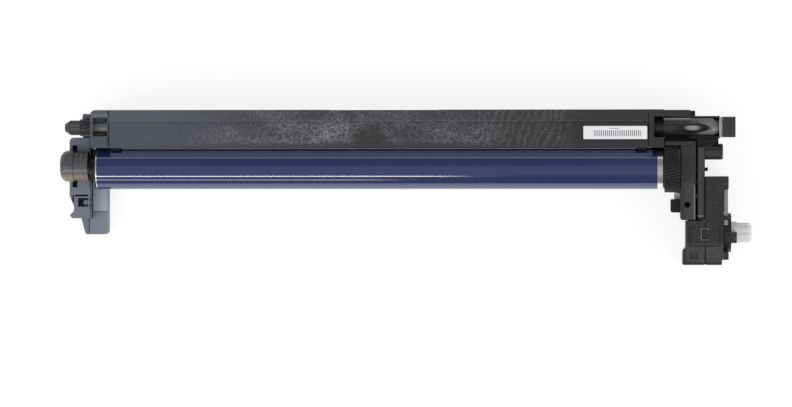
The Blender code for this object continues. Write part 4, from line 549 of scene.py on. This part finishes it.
def box(shape, low, high, bevel=0.0):
    """Adds a box, with its edges rounded where a bevel is given."""
    added = bmesh.ops.create_cube(shape, size=1.0)["verts"]
    size = Vector(high) - Vector(low)
    centre = (Vector(high) + Vector(low)) / 2
    for vertex in added:
        vertex.co = centre + Vector((vertex.co[k] * size[k] for k in range(3)))
    if bevel:
        edges = list({edge for vertex in added for edge in vertex.link_edges})
        bmesh.ops.bevel(shape, geom=edges, offset=bevel, segments=2, profile=0.5, affect="EDGES")


def spring(name, replaced, steel, start, end, reach, turns):
    """Winds a compression spring between two points, with its last turn at each end closed up."""
    steps, wire = 20, SPRING_WIRE
    line = end - start
    along = line.normalized()
    one = along.orthogonal().normalized()
    two = along.cross(one)
    closed = 0.7 / turns
    shape = bmesh.new()
    rings = []
    for i in range(turns * steps + 1):
        share = (i / (turns * steps) - closed) / (1 - 2 * closed)
        rise = wire + (line.length - 2 * wire) * min(1, max(0, share))
        angle = 2 * pi * i / steps
        outward = one * cos(angle) + two * sin(angle)
        centre = start + along * rise + outward * (reach - wire)
        rings.append([shape.verts.new(centre + outward * wire * cos(a) + along * wire * sin(a))
                      for a in around(8)])
    shape.faces.new(rings[0])
    shape.faces.new(rings[-1])
    skin(shape, rings)
    return piece(name, shape, steel, "housing", [replaced], smooth=60)


def other_hand(name, gear, axis, radius, hand, finish, body):
    """A CAD gear with its teeth twisted the other way about the pinion's middle, so that both still mesh."""
    low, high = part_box("idler_pinion")
    middle = (low.x + high.x) / 2
    shape = bmesh.new()
    shape.from_mesh(NODES[gear].data)
    for vertex in shape.verts:
        across, up = vertex.co.y - axis.y, vertex.co.z - axis.z
        if hypot(across, up) > radius * 0.6:
            turn = -2 * hand * (vertex.co.x - middle) * tan(HELIX_ANGLE) / radius
            vertex.co.y = axis.y + across * cos(turn) - up * sin(turn)
            vertex.co.z = axis.z + across * sin(turn) + up * cos(turn)
    return piece(name, shape, finish, body, [gear], smooth=25)


# Settings

class DRUMUNIT_PG_bar(bpy.types.PropertyGroup):
    plastic: colour_property("Clean bar", shade(43, 44, 46))
    # bluish film at the front end, partly painted light
    cool_film_and_light: colour_property("Bluish film at the front end", shade(76, 80, 90))
    dust_colour: colour_property("Settled toner", shade(138, 140, 147))
    # pale colour painted as light on the wall and the guard, which the drum reflects as a bright band
    film: colour_property("Film beside the drum", (0.80, 0.82, 0.92))
    film_reach: length_property("Film reach", "How far from the drum's axis the film lies", 0.0131)
    dust: share_property("Dust amount", "How much toner lies on the bar", 0.8)


class DRUMUNIT_PG_drum(bpy.types.PropertyGroup):
    coat: colour_property("Charge layer", (0.005, 0.016, 0.102))
    coat_haze: colour_property("Worn charge layer", (0.009, 0.020, 0.095))
    rim: colour_property("Bare rims", (0.95, 0.93, 0.88))
    coat_ior: bpy.props.FloatProperty(
        name="Coating index", description="Refractive index of the charge layer",
        default=2.0, min=1.0, max=2.5)
    coat_roughness: share_property("Coating roughness", "Roughness of the charge layer", 0.08)
    front_rim: length_property("Front rim", "Bare width at the front end", 0.0007)
    rear_rim: length_property("Rear rim", "Bare width at the geared end", 0.0034)


class DRUMUNIT_PG_label(bpy.types.PropertyGroup):
    paper: colour_property("Label", shade(232, 233, 236))
    ink: colour_property("Ruled lines", shade(60, 60, 64))
    rule_pitch: length_property("Rule pitch", "Distance between the ruled lines", 0.00125)


class DRUMUNIT_PG_moulding(bpy.types.PropertyGroup):
    front_grey: colour_property("Front bracket", shade(106, 110, 123))
    leg_grey: colour_property("Front leg", shade(118, 123, 137))
    cap_grey: colour_property("Bearing cap", shade(76, 75, 80))
    # painted shade on the cap's back side, and painted light on its front side
    cap_painted_shade: colour_property("Cap's back side", shade(78, 72, 70))
    cap_painted_light: colour_property("Cap's yellowed side", shade(150, 136, 118))
    rear_black: colour_property("Rear plates", shade(45, 47, 47))
    gearbox_black: colour_property("Gearbox", shade(40, 42, 42))
    gloss_black: colour_property("Outlet pipe", shade(40, 41, 40))
    gear_black: colour_property("Drum gear", shade(45, 45, 47))
    knob_grey: colour_property("Auger's knob", shade(62, 63, 65))
    head_grey: colour_property("Push head", shade(56, 57, 57))
    acetal: colour_property("Coupling and small gears", shade(222, 225, 224))
    steel: colour_property("Plated steel", (0.62, 0.63, 0.65))
    strip_steel: colour_property("Earth strip", (0.54, 0.56, 0.60))


class DRUMUNIT_PG_stage(bpy.types.PropertyGroup):
    sky: light_property("Sky", "Strength of the even light", 0.56)
    glossy_sky: light_property("Mirrored sky", "Strength of the even light in reflections", 0.20)
    key: light_property("Key", "Power of the lamp at the front end", 2.5, "POWER")
    right: light_property("Right", "Power of the lamp at the geared end", 2.5, "POWER")
    top: light_property("Top", "Power of the soft lamp overhead", 1.4, "POWER")
    strip: light_property("Strip", "Power of the strip lamp", 1.20, "POWER")
    low_strip: light_property("Low strip", "Power of the lower strip lamp", 0.45, "POWER")
    back: light_property("Back", "Power of the low lamp behind", 1.2, "POWER")
    camera_height: length_property("Camera height", "Height of the camera above the drum", 2.4)
    camera_x: length_property("Camera place", "Place of the camera along the drum", 0.130)
    frame_width: length_property("Frame width", "Width that the camera takes in at the drum", 0.4787)


class DRUMUNIT_PG_looks(bpy.types.PropertyGroup):
    bar: bpy.props.PointerProperty(type=DRUMUNIT_PG_bar)
    drum: bpy.props.PointerProperty(type=DRUMUNIT_PG_drum)
    label: bpy.props.PointerProperty(type=DRUMUNIT_PG_label)
    moulding: bpy.props.PointerProperty(type=DRUMUNIT_PG_moulding)
    stage: bpy.props.PointerProperty(type=DRUMUNIT_PG_stage)


def looks_of(context):
    return getattr(context.scene, PROPERTY_NAME)


# Pieces

class DRUMUNIT_OT_cleaner_bar(bpy.types.Operator):
    """Dress the cleaner bar and its cover in dusty plastic"""
    bl_idname = "drumunit.cleaner_bar"
    bl_label = "Cleaner Bar"

    def execute(self, context):
        dress(bar_plastic(looks_of(context).bar), "cleaner_frame", "top_cover")
        return {"FINISHED"}


class DRUMUNIT_OT_label(bpy.types.Operator):
    """Lay the label on the cover"""
    bl_idname = "drumunit.label"
    bl_label = "Label"

    def execute(self, context):
        low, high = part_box("blank_label")
        shape = bmesh.new()
        box(shape, low, high)
        corners = [e for e in shape.edges if abs(e.verts[0].co.z - e.verts[1].co.z) > (high.z - low.z) / 2]
        bmesh.ops.bevel(shape, geom=corners, offset=0.0006, segments=4, profile=0.5, affect="EDGES")
        piece("label", shape, ruled_label(looks_of(context).label), "housing", ["blank_label"])
        return {"FINISHED"}


class DRUMUNIT_OT_blade(bpy.types.Operator):
    """Dress the blade, its bracket, the seals and the film"""
    bl_idname = "drumunit.blade"
    bl_label = "Blade and Seals"

    def execute(self, context):
        looks = looks_of(context)
        steel = plated_steel("blade_steel", looks.moulding.steel, 0.32)
        dress(self.dusty_steel(), "blade_bracket")
        dress(self.urethane(), "cleaning_blade")
        dress(self.polyester(), "seal_film")
        # the felt's near-black colour is painted shade of the gap beside the drum
        dress(soft_finish("felt", (0.007, 0.007, 0.009), 0.0003), "front_end_seal", "rear_end_seal")
        self.screws(steel)
        self.guard(looks.bar)
        return {"FINISHED"}

    def urethane(self):
        """Dark rubber, pale on the side that scrapes: toner from the drum, and painted light that the drum
        reflects as a bright band.
        """
        finish = Finish("urethane", IOR=1.5)
        cloud = finish.noise(0.004, 2)
        # the side towards the drum is painted pale, partly as light that the drum reflects
        scraped = finish.blend(finish.facing((0, -1, 0)), (0.020, 0.021, 0.026), (0.70, 0.72, 0.80))
        finish.paint(Base_Color=finish.tone(scraped, cloud * 0.2 + 0.85), Roughness=cloud * 0.2 + 0.3)
        return finish

    def polyester(self):
        finish = Finish("polyester_film", IOR=1.55)
        finish.paint(Base_Color=finish.tone((0.28, 0.29, 0.31), finish.noise(0.01, 2) * 0.3 + 0.85),
                     Roughness=finish.noise(0.003, 2) * 0.15 + 0.18)
        return finish

    def guard(self, looks):
        """Thin film that hangs from the bar's wall beside the drum, painted pale as light that the drum
        reflects as a bright band.
        """
        finish = Finish("guard_film", IOR=1.5)
        cloud = finish.noise(0.008, 2, stretch=(0.3, 1, 1))
        finish.paint(Base_Color=finish.tone(looks.film, cloud * 0.2 + 0.95), Roughness=cloud * 0.1 + 0.6)
        finish.bump(finish.noise(0.0006, 2), 0.00001, 0.3)
        shape = bmesh.new()
        box(shape, *GUARD_CORNERS)
        piece("toner_guard", shape, finish, "housing")

    def dusty_steel(self):
        """Bracket steel under the pale toner that the blade scrapes off."""
        finish = Finish("dusty_steel", metallic=0.25)
        cloud = finish.noise(0.006, 3)
        finish.paint(Base_Color=finish.tone((0.55, 0.57, 0.65), cloud * 0.2 + 0.9),
                     Roughness=cloud * 0.2 + 0.5)
        finish.bump(finish.noise(0.0006, 2), 0.00001, 0.4)
        return finish

    def screws(self, steel):
        """Screws with a domed and hollowed head and a pointed shank."""
        for name in ("blade_screw_front", "blade_screw_rear"):
            low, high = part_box(name)
            centre = (low + high) / 2
            head = (high.x - low.x) / 2
            shank = head * 0.52
            profile = ((low.z, shank * 0.5), (low.z + 0.0008, shank), (high.z - 0.0011, shank),
                       (high.z - 0.0010, head), (high.z - 0.0004, head), (high.z, head * 0.75),
                       (high.z, head * 0.30), (high.z - 0.0007, head * 0.12))
            shape = bmesh.new()
            rings = [[shape.verts.new((centre.x + radius * cos(a), centre.y + radius * sin(a), z))
                      for a in around(24)] for z, radius in profile]
            skin(shape, rings)
            shape.faces.new(rings[0])
            shape.faces.new(rings[-1])
            piece(name.replace("blade_", ""), shape, steel, "housing", [name], smooth=35)


class DRUMUNIT_OT_drum(bpy.types.Operator):
    """Build the coated drum, and dress its flange, gear and shaft"""
    bl_idname = "drumunit.drum"
    bl_label = "Drum"

    def execute(self, context):
        looks = looks_of(context)
        self.tube(drum_coating(looks.drum))
        resin = gear_resin(looks.moulding.gear_black)
        other_hand("helical_drum_gear", "drum_gear", DRUM_AXIS, DRUM_GEAR_RADIUS, 1, resin,
                   "drum")
        dress(moulded_plastic("flange_plastic", shade(18, 18, 20), 0.4), "front_flange")
        dress(self.shaft_steel(looks.moulding), "drum_shaft")
        return {"FINISHED"}

    def tube(self, finish):
        """Thin tube with its edges broken inside and out."""
        low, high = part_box("drum_tube")
        outer = (high.z - low.z) / 2
        inner = outer - TUBE_WALL
        edge = EDGE_BREAK
        profile = ((low.x, inner + edge), (low.x, outer - edge), (low.x + edge, outer),
                   (high.x - edge, outer), (high.x, outer - edge), (high.x, inner + edge),
                   (high.x - edge, inner), (low.x + edge, inner))
        shape = bmesh.new()
        turned(shape, DRUM_AXIS, profile, 160)
        piece("coated_drum", shape, finish, "drum", ["drum_tube"], smooth=30)

    def shaft_steel(self, looks):
        """Ground shaft, blackened where it passes the rear plates."""
        finish = Finish("shaft_steel")
        ground = finish.noise(0.0005, 3, stretch=(1, 0.05, 0.05))
        plate_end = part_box("rear_plate")[1].x
        oxide = finish.x.between(plate_end - 0.002, plate_end - 0.001)
        bright = finish.tone(looks.steel, ground * 0.3 + 0.8)
        finish.paint(Base_Color=finish.blend(oxide, bright, shade(30, 30, 31)),
                     Metallic=1 - oxide, Roughness=ground * 0.15 + oxide * 0.2 + 0.2)
        finish.bump(ground, 0.00001, 0.5)
        return finish


class DRUMUNIT_OT_rollers(bpy.types.Operator):
    """Dress the charge roller, its wiper and their bearings, and wind the springs"""
    bl_idname = "drumunit.rollers"
    bl_label = "Rollers"

    def execute(self, context):
        looks = looks_of(context).moulding
        steel = plated_steel("roller_steel", looks.steel, 0.25, (1, 0.05, 0.05))
        dress(steel, "charge_roller_shaft", "wiper_roller_shaft")
        dress(soft_finish("charge_rubber", (0.022, 0.022, 0.024), 0.0005, 0.7, 0.00003),
              "charge_roller_sleeve")
        dress(soft_finish("wiper_foam", (0.10, 0.10, 0.11), 0.0008, 0.95, 0.0003), "wiper_roller_foam")
        dress(moulded_plastic("bearing_plastic", looks.rear_black, 0.35),
              "charge_bearing_front", "charge_bearing_rear", "wiper_bearing_front", "wiper_bearing_rear")
        for end in ("front", "rear"):
            low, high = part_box(f"charge_spring_{end}")
            middle = (low + high) / 2
            foot, top = Vector((middle.x, middle.y, low.z)), Vector((middle.x, middle.y, high.z))
            spring(f"bearing_spring_{end}", f"charge_spring_{end}", steel, foot, top, (high.x - low.x) / 2, 4)
        return {"FINISHED"}


class DRUMUNIT_OT_auger(bpy.types.Operator):
    """Dress the waste auger, its gear and knob"""
    bl_idname = "drumunit.auger"
    bl_label = "Auger"

    def execute(self, context):
        looks = looks_of(context).moulding
        dress(self.packed_plastic(looks.rear_black), "auger_screw")
        dress(moulded_plastic("knob_plastic", looks.knob_grey, 0.30, dust=0.4), "auger_gear")
        return {"FINISHED"}

    def packed_plastic(self, black):
        """Black plastic packed with toner, with a painted highlight band and a cool painted sheen along the
        journal.
        """
        finish = Finish("auger_plastic", IOR=1.45)
        packed = finish.noise(0.0014, 3, distortion=1).between(0.42, 0.66)
        painted_highlight = finish.y.band(*JOURNAL_PAINTED_HIGHLIGHT, 0.0002)
        sheen = finish.y.band(*JOURNAL_SHEEN, 0.0002)
        grey = finish.blend(packed * 0.5, black, (0.10, 0.10, 0.105))
        grey = finish.blend(sheen * 0.6, grey, (0.26, 0.28, 0.34))
        grey = finish.blend(painted_highlight * 0.55, grey, (0.40, 0.36, 0.31))
        finish.paint(Base_Color=grey, Roughness=packed * 0.3 + 0.4)
        finish.bump(packed, 0.0001, 0.5)
        return finish


class DRUMUNIT_OT_front_end(bpy.types.Operator):
    """Dress the front bracket, leg and bearing cap"""
    bl_idname = "drumunit.front_end"
    bl_label = "Front End"

    def execute(self, context):
        looks = looks_of(context).moulding
        dress(moulded_plastic("front_bracket_plastic", looks.front_grey, 0.45, 0.14, dust=0.35,
                              dust_colour=shade(140, 142, 150)), "front_bracket")
        dress(moulded_plastic("front_leg_plastic", looks.leg_grey, 0.45, 0.10, dust=0.35,
                              dust_colour=shade(150, 154, 164), marks=LEG_MARKS), "front_leg")
        dress(self.cap_plastic(looks), "front_bearing_cap")
        return {"FINISHED"}

    def cap_plastic(self, looks):
        """Grey plastic with painted shade that makes its back browner, painted light that makes its front side
        yellower, and a painted highlight line across it.
        """
        finish = Finish("cap_plastic", IOR=1.48)
        patches = finish.noise(0.004, 3)
        fine = finish.noise(0.0004, 2)
        low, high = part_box("front_bearing_cap")
        height = high.y - low.y
        place = (finish.y - low.y) / height + (patches - 0.5) * 0.12
        colour = finish.blend(place.between(0.60, 0.85), looks.cap_grey, looks.cap_painted_shade)
        colour = finish.blend(place.between(0.12, 0.34, 1.0, 0.0) * 0.65, colour, looks.cap_painted_light)
        # painted highlight line along the cap
        colour = finish.blend(place.band(0.33, 0.36, 0.04) * 0.22, colour, shade(168, 168, 178))
        finish.paint(Base_Color=finish.tone(colour, patches * 0.3 + fine * 0.1 + 0.8),
                     Roughness=patches * 0.2 + 0.28)
        finish.bump(fine * 0.6 + patches * 0.4, 0.00005, 0.5)
        return finish


class DRUMUNIT_OT_rear_end(bpy.types.Operator):
    """Dress the rear plates, the gearbox and its flange"""
    bl_idname = "drumunit.rear_end"
    bl_label = "Rear End"

    def execute(self, context):
        looks = looks_of(context).moulding
        dress(moulded_plastic("rear_plate_plastic", looks.rear_black, 0.45, 0.12, dust=0.35,
                              marks=PLATE_MARKS), "rear_plate", "outer_plate")
        dress(moulded_plastic("gearbox_plastic", looks.gearbox_black, 0.42, 0.16, dust=0.4,
                              marks=GEARBOX_MARKS), "gearbox_housing", "gearbox_base", "coupling_flange")
        dress(plated_steel("strip_steel", looks.strip_steel, 0.4, (1, 0.04, 1)), "earth_strip")
        self.webs(looks)
        return {"FINISHED"}

    def webs(self, looks):
        """Flat bridge over the gear's back, and dark webs below the gaps, put there as painted shade."""
        finish = moulded_plastic("bridge_plastic", looks.rear_black, 0.5, 0.12, dust=0.4)
        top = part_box("rear_plate")[1].z
        low, high = ((x, DRUM_AXIS.y + y, top + z) for x, y, z in BRIDGE_CORNERS)
        self.web("drive_bridge", low, high, finish, 0.0003)
        for name, (low, high) in WEB_CORNERS.items():
            self.web(name, low, high, finish, 0.0002)

    def web(self, name, low, high, finish, bevel):
        shape = bmesh.new()
        box(shape, low, high, bevel)
        piece(name, shape, finish, "housing")


class DRUMUNIT_OT_drive(bpy.types.Operator):
    """Dress the coupling, the countershaft and their gears"""
    bl_idname = "drumunit.drive"
    bl_label = "Drive"

    def execute(self, context):
        looks = looks_of(context).moulding
        acetal = pale_resin("white_acetal", looks.acetal)
        dress(acetal, "drive_coupling", "coupling_gear", "counter_gear")
        axis = Vector(JOINTS["countershaft_spin"]["pos_m"])
        other_hand("helical_idler_pinion", "idler_pinion", axis, PINION_RADIUS, -1, acetal,
                   "countershaft")
        dress(plated_steel("countershaft_steel", looks.steel, 0.25, (1, 0.05, 0.05)), "counter_shaft")
        return {"FINISHED"}


class DRUMUNIT_OT_outlet(bpy.types.Operator):
    """Dress the waste outlet, build its ribbed push head and wind the shutter's spring"""
    bl_idname = "drumunit.outlet"
    bl_label = "Waste Outlet"

    def execute(self, context):
        looks = looks_of(context).moulding
        dress(gloss_plastic("outlet_gloss", looks.gloss_black), "waste_outlet_pipe")
        dress(moulded_plastic("shutter_plastic", looks.gearbox_black, 0.35, dust=0.2), "outlet_shutter")
        dress(soft_finish("ring_foam", shade(150, 152, 152), 0.0004), "outlet_seal_ring")
        self.push_head(moulded_plastic("head_plastic", looks.head_grey, 0.55, 0.10, dust=0.5))
        self.return_spring(plated_steel("spring_steel", looks.steel, 0.3, (1, 1, 1)))
        return {"FINISHED"}

    def push_head(self, finish):
        """Ribbed cap, square outside and bored to slide over the pipe."""
        low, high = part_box("outlet_push_head")
        middle = (low + high) / 2
        half = (high.z - low.z) / 2
        groove, bore, cap = half - 0.00028, half - 0.0005, 0.001
        square, circle = 12, 2
        ribs = 6
        pitch = (high.x - low.x) / ribs
        sections = [(low.x, half)]
        for k in range(ribs):
            x = low.x + pitch * k
            sections += [(x + pitch * 0.62, half), (x + pitch * 0.70, groove),
                         (x + pitch * 0.92, groove), (x + pitch, half)]
        shape = bmesh.new()
        outside = [self.outline(shape, middle, x, reach, square) for x, reach in sections]
        inside = [self.outline(shape, middle, x, bore, circle) for x in (high.x - cap, low.x)]
        shape.faces.new(outside[-1])
        shape.faces.new(inside[0])
        for rings in (outside, inside, [inside[-1], outside[0]]):
            skin(shape, rings)
        piece("ribbed_push_head", shape, finish, "shutter", ["outlet_push_head"], smooth=30)

    def outline(self, shape, middle, x, reach, power, steps=48):
        """Adds a ring of corners across X: a circle at power 2, nearly a square at a high power."""
        ring = []
        for k in range(steps):
            turn = 2 * pi * (k + 0.5) / steps
            radius = reach / (abs(cos(turn)) ** power + abs(sin(turn)) ** power) ** (1 / power)
            ring.append(shape.verts.new((x, middle.y + radius * cos(turn), middle.z + radius * sin(turn))))
        return ring

    def return_spring(self, steel):
        """Spring round the pipe, wound between the ends of the CAD spring."""
        low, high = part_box("shutter_spring")
        middle = (low + high) / 2
        seat, end = Vector((low.x, middle.y, middle.z)), Vector((high.x, middle.y, middle.z))
        made = spring("return_spring", "shutter_spring", steel, seat, end, (high.z - low.z) / 2, 7)
        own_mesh(made)


class DRUMUNIT_OT_stage(bpy.types.Operator):
    """Set the floor, the soft lamps and the camera above the unit"""
    bl_idname = "drumunit.stage"
    bl_label = "Stage"

    def execute(self, context):
        looks = looks_of(context).stage
        self.floor()
        self.sky(context, looks)
        middle, front = Vector((0.0, 0.0, 0.02)), Vector((-0.1, 0.0, 0.02))
        self.lamp("key_lamp", (-0.62, -0.30, 0.62), front, looks.key, width=0.45, depth=0.45)
        self.lamp("right_lamp", (0.75, -0.35, 0.55), middle, looks.right, width=0.5, depth=0.5)
        self.lamp("top_lamp", (0.0, -0.14, 1.15), middle, looks.top, width=1.8, depth=1.15, colour=COOL)
        self.strip_lamp("strip_lamp", 49.0, -0.020, looks.strip, depth=0.10, colour=(1.0, 0.93, 0.90))
        self.strip_lamp("low_strip_lamp", 26.0, -0.080, looks.low_strip, depth=0.20, colour=(1.0, 0.84, 0.78))
        self.lamp("back_lamp", (0.0, 1.25, 0.40), middle, looks.back, width=2.0, depth=0.30, colour=BLUISH)
        self.camera(context, looks)
        return {"FINISHED"}

    def floor(self):
        """Pale floor that takes a soft shadow and shows as white."""
        shape = bmesh.new()
        bmesh.ops.create_grid(shape, x_segments=1, y_segments=1, size=FLOOR_REACH)
        mesh = bpy.data.meshes.new("floor")
        shape.to_mesh(mesh)
        shape.free()
        made = bpy.data.objects.new("floor", mesh)
        made.location.z = -FLOOR_DROP
        bpy.context.scene.collection.objects.link(made)
        finish = Finish("pale_floor", IOR=1.4, Base_Color=(0.82, 0.82, 0.82, 1.0), Roughness=1.0,
                        Specular_IOR_Level=0.0)
        seen = self.background_rays(finish)
        veil = finish.node("ShaderNodeBsdfDiffuse", sockets={"Color": (0.26, 0.26, 0.26)})
        glow = finish.node("ShaderNodeEmission", sockets={"Color": WHITE, "Strength": 0.80})
        white = finish.node("ShaderNodeAddShader", sockets={0: veil.outputs[0], 1: glow.outputs[0]})
        lit = finish.shader.outputs[0]
        mix = finish.node("ShaderNodeMixShader", sockets={0: seen, 1: lit, 2: white.outputs[0]})
        finish.feed(finish.tree.nodes["Material Output"].inputs["Surface"], mix.outputs[0])
        mesh.materials.append(finish.material)

    def background_rays(self, finish):
        """1 for the rays that show the background."""
        rays = finish.node("ShaderNodeLightPath")
        camera = Value(finish, rays.outputs["Is Camera Ray"])
        glossy = Value(finish, rays.outputs["Is Glossy Ray"])
        through = Value(finish, rays.outputs["Is Transmission Ray"])
        return camera.most(glossy).most(through)

    def sky(self, context, looks):
        world = bpy.data.worlds.new("studio")
        world.use_nodes = True
        background = world.node_tree.nodes["Background"]
        background.inputs["Color"].default_value = (1, 1, 1, 1)
        rays = world.node_tree.nodes.new("ShaderNodeLightPath")
        strength = world.node_tree.nodes.new("ShaderNodeMapRange")
        strength.inputs["To Min"].default_value = looks.sky
        strength.inputs["To Max"].default_value = looks.glossy_sky
        world.node_tree.links.new(rays.outputs["Is Glossy Ray"], strength.inputs["Value"])
        world.node_tree.links.new(strength.outputs["Result"], background.inputs["Strength"])
        context.scene.world = world

    def lamp(self, name, place, target, power, width, depth, colour=WHITE):
        light = bpy.data.lights.new(name, "AREA")
        light.shape = "RECTANGLE"
        light.size, light.size_y = width, depth
        light.energy = power
        light.color = colour
        made = bpy.data.objects.new(name, light)
        made.location = place
        made.rotation_mode = "QUATERNION"
        made.rotation_quaternion = (Vector(target) - Vector(place)).to_track_quat("-Z", "Y")
        bpy.context.scene.collection.objects.link(made)

    def strip_lamp(self, name, elevation, end, power, depth, colour):
        """Long lamp beside the drum as far as the given x, which the coating shows as a bright line."""
        up = radians(elevation)
        target = Vector(((STRIP_START + end) / 2, DRUM_AXIS.y, DRUM_AXIS.z))
        place = target + Vector((0, -STRIP_DISTANCE * cos(up), STRIP_DISTANCE * sin(up)))
        self.lamp(name, place, target, power, end - STRIP_START, depth, colour)

    def camera(self, context, looks):
        data = bpy.data.cameras.new("camera")
        data.sensor_width = SENSOR_WIDTH
        data.lens = SENSOR_WIDTH * looks.camera_height / looks.frame_width
        data.clip_start, data.clip_end = 0.1, 10
        made = bpy.data.objects.new("camera", data)
        made.location = (looks.camera_x, FRAME_CENTRE.y, DRUM_AXIS.z + looks.camera_height)
        made.rotation_euler.y = atan2(looks.camera_x - FRAME_CENTRE.x, looks.camera_height)
        context.scene.collection.objects.link(made)
        context.scene.camera = made
        context.scene.view_settings.view_transform = "Standard"


class DRUMUNIT_PT_sidebar(bpy.types.Panel):
    """Pieces and settings of the drum unit"""
    bl_idname = "DRUMUNIT_PT_sidebar"
    bl_label = "Drum Unit"
    bl_space_type = "VIEW_3D"
    bl_region_type = "UI"
    bl_category = "Drum Unit"

    def draw(self, context):
        layout = self.layout
        for operator in OPERATORS:
            layout.operator(operator.bl_idname)
        looks = looks_of(context)
        for group in (looks.bar, looks.drum, looks.label, looks.moulding, looks.stage):
            column = layout.column()
            for key in type(group).__annotations__:
                column.prop(group, key)


GROUPS = (DRUMUNIT_PG_bar, DRUMUNIT_PG_drum, DRUMUNIT_PG_label, DRUMUNIT_PG_moulding, DRUMUNIT_PG_stage,
          DRUMUNIT_PG_looks)
OPERATORS = (DRUMUNIT_OT_cleaner_bar, DRUMUNIT_OT_label, DRUMUNIT_OT_blade, DRUMUNIT_OT_drum,
             DRUMUNIT_OT_rollers, DRUMUNIT_OT_auger, DRUMUNIT_OT_front_end, DRUMUNIT_OT_rear_end,
             DRUMUNIT_OT_drive, DRUMUNIT_OT_outlet, DRUMUNIT_OT_stage)


def register():
    for kind in (*GROUPS, *OPERATORS, DRUMUNIT_PT_sidebar):
        bpy.utils.register_class(kind)
    setattr(bpy.types.Scene, PROPERTY_NAME, bpy.props.PointerProperty(type=DRUMUNIT_PG_looks))


def unregister():
    delattr(bpy.types.Scene, PROPERTY_NAME)
    for kind in reversed((*GROUPS, *OPERATORS, DRUMUNIT_PT_sidebar)):
        bpy.utils.unregister_class(kind)


def main():
    register()
    for operator in OPERATORS:
        group, name = operator.bl_idname.split(".")
        getattr(getattr(bpy.ops, group), name)()


if __name__ == "__main__":
    main()
